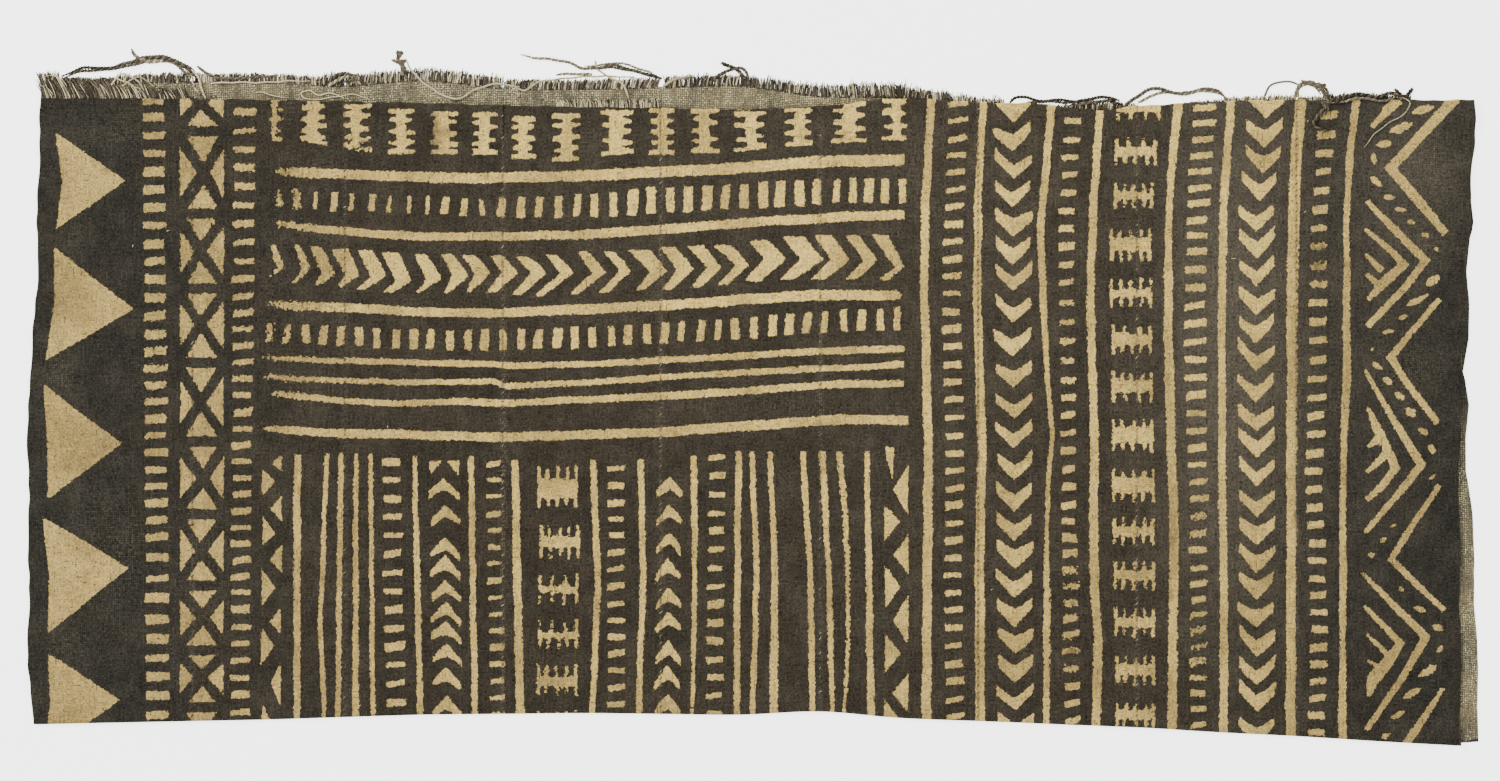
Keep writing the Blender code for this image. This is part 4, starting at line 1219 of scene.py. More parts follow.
@dataclass(frozen=True)
class PaintedFace(Finish):
    """The painted side: bare handspun cotton between grounds of dark mud dye.

    It reads cloth, paint, stain, faint, fade, wear, warmth and pale from the mesh.
    """

    name: str = "painted_face"
    bare_light: Colour = (0.555, 0.395, 0.13)
    bare_deep: Colour = (0.385, 0.27, 0.094)
    paler: Colour = (1.53, 1.53, 1.34)
    stained: Colour = (0.15, 0.1, 0.052)
    mud_cool: Colour = (0.028, 0.0262, 0.0206)
    mud_warm: Colour = (0.038, 0.0304, 0.0204)
    mud_faded: Colour = (0.088, 0.075, 0.053)
    worn: Colour = (0.15, 0.126, 0.084)
    ragged: float = 1.35

    def look(self, graph: ClothGraph) -> tuple[Socket, Socket]:
        """Work out the colour and the height."""
        colour = graph.mix(self.bare_share(graph), self.mud_colour(graph), self.bare_colour(graph))
        # Painted shade of the weave: the colour is darkened in the hollows between yarns and lightened on
        # their crowns.
        return graph.shade(colour, graph.line(graph.crown, 0.16, 0.88)), graph.height

    def bare_share(self, graph: ClothGraph) -> Socket:
        """Say where the ground is bare, with an edge that the yarns make ragged.

        Args:
            graph: The material's nodes.

        Returns:
            1 where bare and 0 where dyed.
        """
        faint = graph.attribute("faint")
        torn = graph.times(graph.ragged, graph.line(faint, 5.5, self.ragged))
        blur = graph.math("SUBTRACT", graph.noise(graph.cloth, 0.13, 3).outputs["Fac"], 0.5)
        edge = graph.math("ADD", graph.attribute("paint"), graph.line(blur, 0.5, torn))
        edge = graph.math("SUBTRACT", edge, graph.times(faint, 0.35))
        clean = graph.rise(graph.math("ADD", edge, graph.line(graph.crown, -0.35, 0.17)), -0.2, 0.2)
        weak = graph.times(faint, graph.cloud(0.3, 2, 0.36, 0.66))
        missed = graph.math("MAXIMUM", *(graph.rise(graph.drawn(graph.cloth, x, y), 0.705, 0.77, 0, 0.7)
            for x, y in ((0.17, 1.05), (1.05, 0.13))))
        missed = graph.math("MAXIMUM", missed, graph.times(weak, 0.8))
        return graph.times(clean, graph.math("SUBTRACT", 1, missed))

    def bare_colour(self, graph: ClothGraph) -> Socket:
        """Colour of the bare cotton: clouds, yarn by yarn changes, stains and specks of dye.

        Args:
            graph: The material's nodes.

        Returns:
            The colour.
        """
        colour = graph.mix(graph.cloud(0.021, 4, 0.36, 0.66), self.bare_light, self.bare_deep)
        lifted = graph.mix(graph.attribute("pale"), (1, 1, 1), self.paler)
        colour = graph.shade(graph.mix(1, colour, lifted, "MULTIPLY"), graph.line(graph.tone, 1.05, 1))
        stain = graph.times(graph.attribute("stain"), graph.cloud(0.35, 2, 0.3, 0.7, 0.35, 1))
        stain = graph.math("ADD", stain, graph.cloud(0.075, 3, 0.58, 0.78, 0, 0.35))
        colour = graph.mix(graph.math("MINIMUM", stain, 0.85), colour, self.stained)
        return graph.mix(graph.cloud(0.62, 1, 0.735, 0.79, 0, 0.8), colour, self.mud_warm)

    def mud_colour(self, graph: ClothGraph) -> Socket:
        """Colour of the mud dye: cool and warm grounds, faded grey places and worn yarn crowns.

        Args:
            graph: The material's nodes.

        Returns:
            The colour.
        """
        drifted = graph.cloud(0.022, 3, 0.36, 0.66, -0.16, 0.16)
        warmth = graph.limit(graph.math("ADD", graph.attribute("warmth"), drifted))
        patch = graph.cloud(0.045, 3, 0.3, 0.75, -0.06, 0.2)
        fade = graph.limit(graph.math("ADD", graph.attribute("fade"), patch))
        colour = graph.mix(fade, graph.mix(warmth, self.mud_cool, self.mud_warm), self.mud_faded)
        colour = graph.shade(colour, graph.line(graph.tone, 1.35, 1))
        streaks = graph.rise(graph.drawn(graph.cloth, 0.42, 0.035, 2), 0.5, 0.72, 0.1, 0.46)
        rubbed = graph.times(graph.math("ADD", graph.attribute("wear"), streaks),
            graph.cloud(0.5, 2, 0.42, 0.72))
        rubbed = graph.times(rubbed, graph.rise(graph.crown, 0.3, 0.9))
        return graph.mix(graph.times(rubbed, 0.75), colour, self.worn)


@dataclass(frozen=True)
class ReverseFace(Finish):
    """The unpainted side, which reads cloth and through: grey where the dye shows, with pale yarn crowns."""

    name: str = "reverse_face"
    grey: Colour = (0.132, 0.116, 0.076)
    tan: Colour = (0.2, 0.166, 0.094)
    pale: Colour = (0.88, 0.76, 0.42)
    # Painted shade: the colour of the hollows between yarns.
    dark: Colour = (0.04, 0.035, 0.024)
    # The colour that the reverse darkens to in the band along the back layer's right edge.
    dyed: Colour = (0.04, 0.04, 0.031)
    bump: float = 0.6
    bump_height: float = 0.00025

    def look(self, graph: ClothGraph) -> tuple[Socket, Socket]:
        """Work out the colour and the height."""
        colour = graph.mix(graph.cloud(0.035, 3, 0.38, 0.64), self.grey, self.tan)
        crowns = graph.times(graph.rise(graph.crown, 0.35, 0.95), graph.cloud(1.05, 1, 0.4, 0.64))
        bright = graph.rise(graph.drawn(graph.cloth, 0.14, 0.045, 3), 0.34, 0.66, 0.08, 1)
        colour = graph.mix(graph.times(crowns, bright), colour, self.pale)
        # Darkens the reverse where the through value says: a band along the back layer's right edge.
        colour = graph.mix(graph.times(graph.attribute("through"), 0.93), colour, self.dyed)
        # Painted shade of the weave: the colour darkens in the hollows between yarns.
        colour = graph.mix(graph.rise(graph.crown, 0, 0.42, 0.75, 0), colour, self.dark)
        return graph.shade(colour, graph.line(graph.tone, 1.3, 1)), graph.height


@dataclass(frozen=True)
class LooseYarn(Finish):
    """Handspun yarn, from bare to dyed as the mesh's tone says, with the ply that its twist gives."""

    name: str = "loose_yarn"
    pale: Colour = (0.84, 0.74, 0.44)
    middle: Colour = (0.175, 0.144, 0.096)
    dark: Colour = (0.027, 0.022, 0.017)
    shine: float = 0.1
    bump: float = 0.7
    bump_height: float = 0.00012

    def look(self, graph: Graph) -> tuple[Socket, Socket]:
        """Work out the colour and the height."""
        place = graph.add("TexCoord").outputs["Object"]
        flecks = graph.add("TexNoise", {"Vector": place, "Scale": 900.0, "Detail": 2.0}).outputs["Fac"]
        tone = graph.math("ADD", graph.attribute("tone"), graph.line(flecks, 0.5, -0.25))
        colour = graph.mix(graph.rise(tone, 0, 0.5), self.pale, self.middle)
        colour = graph.mix(graph.rise(tone, 0.5, 1), colour, self.dark)
        ply = graph.math("SINE", graph.times(graph.attribute("twist"), 2 * math.pi))
        return colour, graph.math("ADD", graph.times(ply, 0.4), flecks)


def deselect() -> None:
    """Leave nothing selected, so that an operator acts on its own piece only."""
    bpy.ops.object.select_all(action="DESELECT")


def activate(item: Object) -> None:
    """Select one piece alone and make it active."""
    deselect()
    item.select_set(True)
    bpy.context.view_layer.objects.active = item


def new_piece(name: str, points: Array, faces: list, materials: list[Material],
    values: dict[str, Array]) -> Object:
    """Make a mesh piece with values on its points.

    Args:
        name: The piece's name.
        points: Rows of places in the tables' millimetres.
        faces: Lists of point numbers.
        materials: The piece's finishes.
        values: Named values, one for each point, as numbers or as rows of three.

    Returns:
        The piece.
    """
    mesh = bpy.data.meshes.new(name)
    mesh.from_pydata(((points - ORIGIN) * MM).tolist(), [], faces)
    for key, column in values.items():
        kind, slot = ("FLOAT_VECTOR", "vector") if column.ndim == 2 else ("FLOAT", "value")
        mesh.attributes.new(key, kind, "POINT").data.foreach_set(slot, column.astype(np.float32).ravel())
    for material in materials:
        mesh.materials.append(material)
    item = bpy.data.objects.new(name, mesh)
    bpy.context.scene.collection.objects.link(item)
    return item


@dataclass
class Strip:
    """One woven strip: the sheet that lies back, round the fold and forward again."""

    number: int
    sharp: float = 50.0

    @property
    def node(self) -> str:
        """Name of the strip's solid."""
        return f"strip_{self.number}"

    def build(self, pattern: Pattern, painted: Material, reverse: Material) -> Object:
        """Make the sheet, fine on its painted side and coarse on its reverse.

        Args:
            pattern: The painted pattern.
            painted: Finish of the painted side.
            reverse: Finish of the other side.

        Returns:
            The piece, riding on the cloth and standing for its solid.
        """
        grid = LAY.grid(self.number)
        outer, inner = self.sides(grid)
        few = slice(None, None, LAY.coarse)
        coarse = inner[few, few]
        points = np.vstack((outer.reshape(-1, 3), coarse.reshape(-1, 3)))
        fine = np.arange(grid.x.size).reshape(grid.x.shape)
        low = fine.size + np.arange(coarse.size // 3).reshape(coarse.shape[:2])
        fine_faces, coarse_faces, rim = self.quads(fine), self.quads(low)[:, ::-1], self.rims(fine, low)
        values = self.values(pattern, grid)
        values = {name: np.concatenate((column.reshape(-1, *column.shape[2:]),
            column[few, few].reshape(-1, *column.shape[2:]))) for name, column in values.items()}
        piece = new_piece(f"painted_strip_{self.number}", points,
            [*fine_faces.tolist(), *rim, *coarse_faces.tolist()], [painted, reverse], values)
        slots = np.zeros(len(piece.data.polygons), np.int32)
        slots[len(fine_faces) + len(rim):] = 1
        piece.data.polygons.foreach_set("material_index", slots)
        activate(piece)
        bpy.ops.object.shade_smooth_by_angle(angle=math.radians(self.sharp))
        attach(piece, BODY)
        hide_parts(self.node)
        return piece

    def sides(self, grid: Grid) -> tuple[Array, Array]:
        """Work out the two faces of the sheet from its middle surface.

        Args:
            grid: The middle surface.

        Returns:
            The outer and the inner face, as rows and columns of places.
        """
        way_y, way_z = np.gradient(grid.y, axis=0), np.gradient(grid.z, axis=0)
        length = np.hypot(way_y, way_z)
        lean_y, lean_z = -way_z / length, way_y / length
        inner_offset = LAY.thickness - LAY.outer_offset
        return tuple(np.stack((grid.x, grid.y + lean_y * offset, grid.z + lean_z * offset), axis=-1)
            for offset in (LAY.outer_offset, -inner_offset))

    def values(self, pattern: Pattern, grid: Grid) -> dict[str, Array]:
        """Work out what the finishes read at each point.

        Args:
            pattern: The painted pattern.
            grid: The middle surface.

        Returns:
            Named values, in rows and columns.
        """
        x, along = grid.x, grid.along
        paint = pattern.distance(x.ravel(), along.ravel()).reshape(x.shape)
        seam = seam_closeness(x, 0.75)
        return {"cloth": np.stack((x, along, np.zeros_like(x)), axis=-1), "paint": paint,
            "stain": np.clip(blots(STAINS, x, along) + 0.75 * seam, 0, 1), "faint": blots(FAINT, x, along),
            "through": np.clip(blots(REVERSE_DARK_BAND, x, along), 0, 1),
            "fade": np.clip(blots(FADED, x, along) + 0.25 * seam_closeness(x, 1.6), 0, 1),
            "wear": np.clip(blots(WORN, x, along) + 0.45 * seam_closeness(x, 1.3), 0, 1),
            "warmth": drift(WARMTH, x), "pale": drift(PALENESS, x) * drift(PALER_UP, along),}

    def quads(self, numbers: Array) -> Array:
        """Number the faces of a grid of points."""
        corners = (numbers[:-1, :-1], numbers[:-1, 1:], numbers[1:, 1:], numbers[1:, :-1])
        return np.stack(corners, axis=-1).reshape(-1, 4)

    def rims(self, fine: Array, low: Array) -> list:
        """Number the faces that close the sheet's four edges.

        Args:
            fine: Numbers of the fine side's points.
            low: Numbers of the coarse side's points.

        Returns:
            Triangles between the fine and the coarse edges.
        """
        found = []
        for edge, few, forward in ((fine[0], low[0], False), (fine[-1], low[-1], True),
            (fine[:, 0], low[:, 0], True), (fine[:, -1], low[:, -1], False)):
            for index in range(len(few) - 1):
                first = index * LAY.coarse
                group = [(edge[first + step], edge[first + step + 1], few[index] if step < LAY.coarse // 2
                    else few[index + 1]) for step in range(LAY.coarse)]
                group.append((edge[first + LAY.coarse // 2], few[index + 1], few[index]))
                found += [tuple(int(i) for i in (face if forward else face[::-1])) for face in group]
        return found

    def declare(self, piece: Object, fringes: list[Object]) -> None:
        """Log what size the strip was cut to."""
        grid = LAY.grid(self.number)
        middle = grid.x.shape[1] // 2
        path = np.column_stack((grid.y[:, middle], grid.z[:, middle]))
        length = float(np.linalg.norm(np.diff(path, axis=0), axis=1).sum()) * MM
        width = float(np.mean(grid.x[:, -1] - grid.x[:, 0])) * MM
        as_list(fringes)
        LOG.info("%s: cut to %.3f x %.3f m", piece.name, width, length)


def sides_of(line: Array) -> tuple[Array, Array]:
    """Work out what lies beside a line and what lies over it.

    Args:
        line: Rows of places.

    Returns:
        Level and upright unit vectors across the line, one of each for each place.
    """
    way = np.gradient(line, axis=0)
    way /= np.maximum(np.linalg.norm(way, axis=1), 1e-9)[:, None]
    side = np.cross(way, (0, 0, 1))
    side[np.linalg.norm(side, axis=1) < 0.05] = (1.0, 0.0, 0.0)
    side /= np.linalg.norm(side, axis=1)[:, None]
    return side, np.cross(side, way)


class YarnMesh:
    """Gathers yarns into one mesh."""

    def __init__(self) -> None:
        """Start with no yarn."""
        self.points: list[Array] = []
        self.faces: list[tuple[int, ...]] = []
        self.tones: list[Array] = []
        self.twists: list[Array] = []
        self.count = 0

    def add(self, line: Array, radii: Array, tones: Array, sides: int = 4) -> None:
        """Add one yarn.

        Args:
            line: Rows of places that it follows.
            radii: Its radius at each place.
            tones: Its tone at each place, from 0 bare to 1 dyed.
            sides: How many sides it has.
        """
        side, up = sides_of(line)
        turns = (np.arange(sides) + 0.5) * 2 * math.pi / sides
        rings = (line[:, None] + radii[:, None, None] * (np.cos(turns)[None, :, None] * side[:, None]
            + np.sin(turns)[None, :, None] * up[:, None]))
        count = len(line)
        self.points.append(rings.reshape(-1, 3))
        run = lengths(line)
        self.tones.append(np.repeat(tones, sides))
        self.twists.append(np.repeat(run / 2.2, sides) + np.tile(np.arange(sides) / sides, count))
        base = self.count
        for ring in range(count - 1):
            for corner in range(sides):
                after = (corner + 1) % sides
                low, high = base + ring * sides, base + (ring + 1) * sides
                self.faces.append((low + corner, high + corner, high + after, low + after))
        self.faces.append(tuple(base + corner for corner in range(sides)))
        self.faces.append(tuple(base + (count - 1) * sides + corner for corner in range(sides))[::-1])
        self.count += count * sides

    def piece(self, name: str, material: Material) -> Object:
        """Make the piece, riding on the cloth.

        Args:
            name: Its name.
            material: Its finish.

        Returns:
            The piece.
        """
        values = {"tone": np.concatenate(self.tones), "twist": np.concatenate(self.twists)}
        made = new_piece(name, np.vstack(self.points), self.faces, [material], values)
        made.data.polygons.foreach_set("use_smooth", np.ones(len(made.data.polygons), bool))
        activate(made)
        bpy.ops.object.mode_set(mode="EDIT")
        bpy.ops.mesh.select_all(action="SELECT")
        bpy.ops.mesh.normals_make_consistent(inside=False)
        bpy.ops.object.mode_set(mode="OBJECT")
        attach(made, BODY)
        return made


def lengths(line: Array) -> Array:
    """Measure how far along a line each of its places lies."""
    return np.concatenate([[0.0], np.cumsum(np.linalg.norm(np.diff(line, axis=0), axis=1))])


def smooth_route(places: Array, step: float) -> Array:
    """Read places a step apart along a smooth curve through a few given places."""
    runs = lengths(places)
    return curve(runs, places, np.linspace(0, runs[-1], max(int(runs[-1] / step), 3) + 1))


@dataclass(frozen=True)
class Fray:
    """A run of loose yarns on one frayed end."""

    layer: Layer
    strip: int
    start: float
    end: float
    length: float
    lean: float
    dyed: float
    pitch: float = 1.0
    curl: float = 1.3

    @property
    def node(self) -> str:
        """Name of the solid that the yarns stand for."""
        return f"fringe_{self.layer.value}_{self.strip}"

    @property
    def column(self) -> str:
        """Name of the station column that holds the frayed end."""
        return f"{self.layer.value}_end"


class Nap(NamedTuple):
    """One bed of yarns in a fringe.

    It holds their spacing and radius, their shortest and longest reach as shares of the fringe's length, how
    far they lift, how many more of them are dyed dark as painted shade, and how freely they curl.
    """

    pitch: float
    radius: float
    shortest: float
    longest: float
    lift: float
    dyed_for_shade: float
    curl: float


# The first bed lies low and short under the rest; its extra dyed yarns are painted shade beneath the
# fringe's strands.
NAPS = tuple(Nap(*row) for row in ((0.64, 0.58, 0.72, 0.94, 0.1, 0.26, 0.3),
    (0.72, 0.39, 0.76, 1.16, 0.9, 0, 1),))
FRAYS = tuple(Fray(layer, *row) for layer, rows in ((Layer.BACK, ((1, -449.5, -437, 7, -1.8, 0.9),
    (1, -437, -402, 4, -0.8, 0.85), (1, -402, -355, 6, 0.6, 0.7), (2, -352.5, -272, 5.8, 0.4, 0.6),
    (2, -272, -258.5, 8.2, 1.6, 0.72), (3, -256.5, -158.5, 7.8, 0.8, 0.64), (4, -157.5, -60, 6.4, 1.6, 0.6),
    (5, -56.5, 41.5, 7.2, 0.8, 0.8), (6, 42.5, 62, 8, -0.6, 0.7), (6, 62, 96, 9.8, -0.8, 0.68),
    (6, 96, 124, 8.2, 0.6, 0.66), (6, 124, 141, 7.6, -0.6, 0.66), (7, 142, 158, 7.2, 0, 0.8),
    (7, 172, 201, 3.6, 0.6, 0.55, 1), (7, 201, 232, 6.6, 0.6, 0.7, 0.8, 1.6),
    (7, 232.5, 241, 5.6, 0.3, 0.2, 0.9), (8, 271, 297, 4.8, 0.3, 0.6, 1),
    (8, 297, 341, 5.8, -0.6, 0.26, 0.8), (9, 343, 360, 5, 0.6, 0.4, 0.8),
    (9, 360, 414, 6.2, 1.2, 0.85, 0.8, 1.6),)), (Layer.FRONT,
    ((1, -447.5, -397, 12.5, -6.2, 0.72, 1.1, 1.9), (1, -397, -355, 8, -4.4, 0.68, 1.1, 1.6),
    (4, -124, -60, 5.6, -1, 0.36, 1.1, 1.5),)),) for row in rows)


@dataclass
class FrayedEnd:
    """The loose yarns of one node: a short bed, more of it dyed dark as painted shade beneath the strands,
    and longer curled yarns over it.
    """

    node: str
    rings: int = 6
    root_depth: float = 1.2
    finer_in_front: float = 0.76

    def build(self, material: Material, rng: Random) -> Object:
        """Make the yarns, running out of the cloth's raw edge and lying over what is below.

        Args:
            material: Their finish.
            rng: Their unevenness.

        Returns:
            The piece, standing for its node.
        """
        yarns = YarnMesh()
        for fray in (fray for fray in FRAYS if fray.node == self.node):
            for nap in NAPS:
                self.bed(yarns, fray, nap, rng)
        piece = yarns.piece(self.node.replace("fringe", "frayed"), material)
        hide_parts(self.node)
        return piece

    def bed(self, yarns: YarnMesh, fray: Fray, nap: Nap, rng: Random) -> None:
        """Add one bed of yarns, whose neighbours lean much the same way."""
        pitch = nap.pitch * fray.pitch
        places = np.arange(fray.start + pitch / 2, fray.end, pitch)
        for x, together in zip(places, unsteady(rng, places, 1.0, 4.6)):
            # The bed's extra share of dyed yarns is painted shade under the strands.
            dyed = rng.random() < fray.dyed + nap.dyed_for_shade
            tone = rng.uniform(0.64, 0.98) if dyed else rng.uniform(0.06, 0.36)
            root = float(x) + shake(rng, 0.25) * pitch
            self.yarn(yarns, fray, nap, root, float(together), tone, rng)

    def yarn(self, yarns: YarnMesh, fray: Fray, nap: Nap, x: float, together: float, tone: float,
        rng: Random) -> None:
        """Add one loose yarn.

        Args:
            yarns: The mesh that it goes into.
            fray: The run that it belongs to.
            nap: The bed that it belongs to.
            x: Its root's place across the cloth.
            together: The way that its neighbours lean with it, from -1 to 1.
            tone: Its tone.
            rng: Its unevenness.
        """
        end = float(through(STATIONS, fray.column, x))
        back = fray.layer is Layer.BACK
        base = LAY.back_mid if back else LAY.raw_end_mid
        floor = 0.0 if back else LAY.back_mid + LAY.thickness - LAY.outer_offset
        curl = nap.curl * fray.curl
        reach = fray.length * (1.0 + 0.1 * together) * rng.uniform(nap.shortest, nap.longest)
        lean = (fray.lean + together * 1.3) * reach / fray.length + shake(rng, 0.8) * curl
        bow = shake(rng, 0.5) * curl
        hook = shake(rng, 0.8) * curl
        share = np.linspace(0, 1, self.rings)
        curled = ease(0.45, 1, share)
        radius = nap.radius * rng.uniform(0.85, 1.25) * (1.0 if back else self.finer_in_front)
        x_line = x + lean * share**1.5 + bow * np.sin(math.pi * share) + hook * curled
        y_line = end - self.root_depth + (reach + self.root_depth) * share - 0.6 * abs(hook) * curled
        height = floor + radius + (base - floor - radius) * (1 - ease(0.1, 0.9, share))
        height = height + (nap.lift * rng.uniform(0.4, 1)) * np.sin(math.pi * share * 0.9)
        height = np.maximum(height, floor + radius)
        taper = radius * np.interp(share, (0, 0.75, 1), (1, 0.95, 0.5))
        tones = np.clip(tone + shake(rng, 0.1) + (share - 0.5) * shake(rng, 0.2), 0, 1)
        yarns.add(np.column_stack((x_line, y_line, height)), taper, tones)


@dataclass(frozen=True)
class Thread:
    """A long loose thread: where it goes, seen from above, and how it is spun."""

    places: tuple[float, ...]
    radius: float
    start_tone: float
    end_tone: float
    plies: int = 2
    knots: tuple[tuple[float, float, float], ...] = ()
    arch: float = 0.6


THREADS = tuple(Thread(*row) for row in (((-352, 206, -360, 211.5, -377, 215, -395.5, 211.5, -407.5, 208.5,
    -421, 209, -436, 203.5), 0.7, 0.72, 0.95), ((-355, 203, -366, 212, -380, 213, -396.5, 209.5, -410,
    207.5, -424, 206.5, -434, 203), 0.66, 0.58, 0.85), ((-349, 202, -358, 208.5, -370, 215.5, -381, 216,
    -392, 213, -403.5, 209.5), 0.64, 0.82, 0.6), ((-356, 208.5, -366, 213.5, -378, 214, -390, 211.5), 0.5,
    0.2, 0.6), ((-405, 198, -401.5, 202, -398, 205, -392.2, 203.2, -387, 199, -384, 194.5), 0.34, 0.1, 0.28,
    1), ((-403, 203.5, -399.5, 201.5, -395, 199.5, -389.5, 196.5, -385.5, 196), 0.32, 0.1, 0.25, 1),
    ((-449, 202, -445, 203.8, -440.5, 204.2, -437, 200.8, -435, 196), 0.32, 0.1, 0.2, 1),
    ((-398, 197, -393.5, 200.5, -388.5, 202.8, -382, 200.5, -377, 196), 0.32, 0.2, 0.35, 1),
    ((-372, 213.5, -383, 213, -389.5, 216.5, -392, 221), 0.8, 0.3, 0.6),
    ((-354, 208, -351, 204.5, -348.5, 198, -345.5, 189.5), 0.55, 0.05, 0.1),
    ((-357, 207.5, -354, 203.5, -353, 198, -349, 192.5), 0.5, 0.5, 0.2), ((-350.5, 210, -346, 206, -340,
    203, -330, 202, -318, 202.5, -300, 204), 0.6, 0.6, 0.7), ((-342, 199, -326, 199.6, -310, 199.5, -287,
    200.5, -272, 199.8, -262, 198.3), 0.38, 0.12, 0.3, 1),
    ((-267, 198.5, -264, 203.5, -258, 205.5, -252, 203, -249.5, 198), 0.75, 0.85, 0.6),
    ((-268, 197, -262, 201, -255, 203.5, -249.5, 201, -247.5, 197.5), 0.7, 0.3, 0.4),
    ((-262, 196.5, -257, 200.5, -251.5, 200.5, -249.5, 195.5), 0.6, 0.9, 0.5),
    ((-314, 193, -309, 193.5, -305, 192, -300.5, 190.5, -294, 190), 0.34, 0.1, 0.2, 1), ((-258, 189.5, -268,
    193, -274.5, 191.5, -280.5, 194.5, -285, 193, -283.5, 190, -275, 189, -263, 190.5, -252, 192, -240,
    188), 0.36, 0.06, 0.16, 1), ((-221, 204, -222, 211, -224, 214.5, -223, 218.5, -225, 219.5), 0.95, 0.55,
    0.7, 2, ((-223, 217.5, 2), (-221, 212.5, 1.6))),
    ((-218.5, 202, -219.5, 207.5, -222.5, 211.5, -228, 214), 0.8, 0.8, 0.6), ((-219.5, 214.5, -215, 206.5,
    -208, 199.5, -197.5, 192.5, -187, 189, -178, 193.5, -168.5, 197.5, -151, 197, -146, 194.5, -135, 200,
    -124.5, 201.5, -110, 203, -95, 203.5, -80, 203, -69, 202), 0.42, 0.2, 0.28, 1,
    ((-149, 196, 1.6), (-148, 192, 1.1))), ((-61, 203.5, -75.5, 207, -88, 210.5, -99.5, 208.5, -107.5,
    208.5, -116, 212, -126, 214, -137, 215, -147, 217), 0.66, 0.9, 0.3),
    ((-58, 202, -71, 205.5, -80, 207.5, -92, 209, -99, 208), 0.52, 0.85, 0.7),
    ((-64, 205.5, -74, 209, -86, 212, -97, 210.5, -106, 210), 0.45, 0.35, 0.5), ((-100, 213.5, -98.5, 208.5,
    -93, 204, -84, 199.5, -80, 194, -78.5, 189.5), 0.46, 0.25, 0.18, 1),
    ((-102, 204.5, -112, 205, -125, 204.5), 0.6, 0.4, 0.4), ((-27.5, 198, -23.5, 203, -16.5, 206.5, -7.5,
    208.5, -4.5, 206, -3, 201.5), 0.75, 0.8, 0.7),
    ((-20, 212, -14.5, 209.5, -8, 205.5, -5, 202), 0.85, 0.98, 0.7),
    ((-57, 197.5, -52, 200.5, -45, 202.5, -38, 204), 0.55, 0.2, 0.4, 1), ((161.5, 186.5, 165, 189.5, 171.5,
    190.5, 178.5, 188, 190, 188.5, 203, 188), 0.65, 0.98, 0.98),
    ((172, 186.5, 184, 187.5, 196, 186.8, 208, 187.5), 0.55, 0.7, 0.9),
    ((203, 187, 214, 189.5, 224, 190, 231, 188), 0.75, 0.95, 0.85),
    ((206, 186, 215, 187.2, 223, 188, 232.5, 185.5), 0.7, 0.6, 0.95), ((233, 184.5, 240, 189, 248, 194.5,
    257, 195.5, 266, 192.5, 276, 193.5, 288, 195.5, 296, 191.5, 297.5, 188.5), 0.8, 0.75, 0.6), ((242.5,
    187, 250, 190.5, 259, 193.5, 270, 192, 282, 194, 291, 193.5, 298, 190), 0.65, 0.4, 0.4, 2,
    ((272, 193, 1.3),)), ((322, 191, 324.5, 196, 330, 199.5, 338, 200, 345, 197.5), 0.42, 0.62, 0.5, 1),
    ((341, 188.5, 342, 194.5, 345.5, 199, 351, 200, 356, 197, 359.5, 192.5, 361, 188.5), 0.66, 0.5, 0.55),
    ((343.5, 189, 344, 195.5, 348.5, 198.5, 353.5, 197, 357.5, 192), 0.5, 0.3, 0.45), ((345, 200.5, 351.5,
    198.5, 357.5, 196, 361, 190, 360, 183.5, 354.5, 178.5, 352.5, 173, 357, 169.5, 364, 169), 0.85, 0.55,
    0.8, 2, ((358.5, 197, 2), (360, 192, 1.8), (359, 186, 1.5))),
    ((356, 199.5, 360.5, 195, 362, 189.5, 361, 182, 357, 177), 0.75, 0.9, 0.75), ((362, 187.5, 371, 189.5,
    381, 192.5, 391, 190, 402, 192.5, 410, 188.5), 0.95, 0.9, 0.8),
    ((360, 186.5, 372, 187.5, 384, 189.5, 394, 187.5, 404, 189.5), 0.7, 0.4, 0.65),
    ((366, 187, 376, 190.5, 386, 189.5, 398, 190.5), 0.85, 0.95, 0.85),
    ((404.5, 195.5, 408.5, 191, 412.5, 188.5), 0.8, 0.95, 0.95),
    ((415.5, 195.5, 411.5, 191.5, 409.5, 189.5), 0.9, 0.98, 0.95), ((403, 190.5, 409, 190, 413, 186.5,
    411.5, 181.5, 405.5, 177, 396.5, 171.5, 389, 164.5, 384.5, 158), 0.27, 0.22, 0.26, 1),))
LINT = ((-369, 106, 0.2, 2.2), (-391, 96.5, 1.3, 1.8), (-248, -193, 0.4, 1.6), (347.5, 118, 0.7, 1.8),
    (-230.5, -17.5, 2.1, 1.6), (15, -84, 1.1, 1.6), (302.5, 88.5, 0.1, 3.2), (349, 175, 0.9, 1.6),
    (-320, -40, 2.5, 1.4), (150, -120, 0.5, 1.4), (60, 20, 1.9, 1.5),)


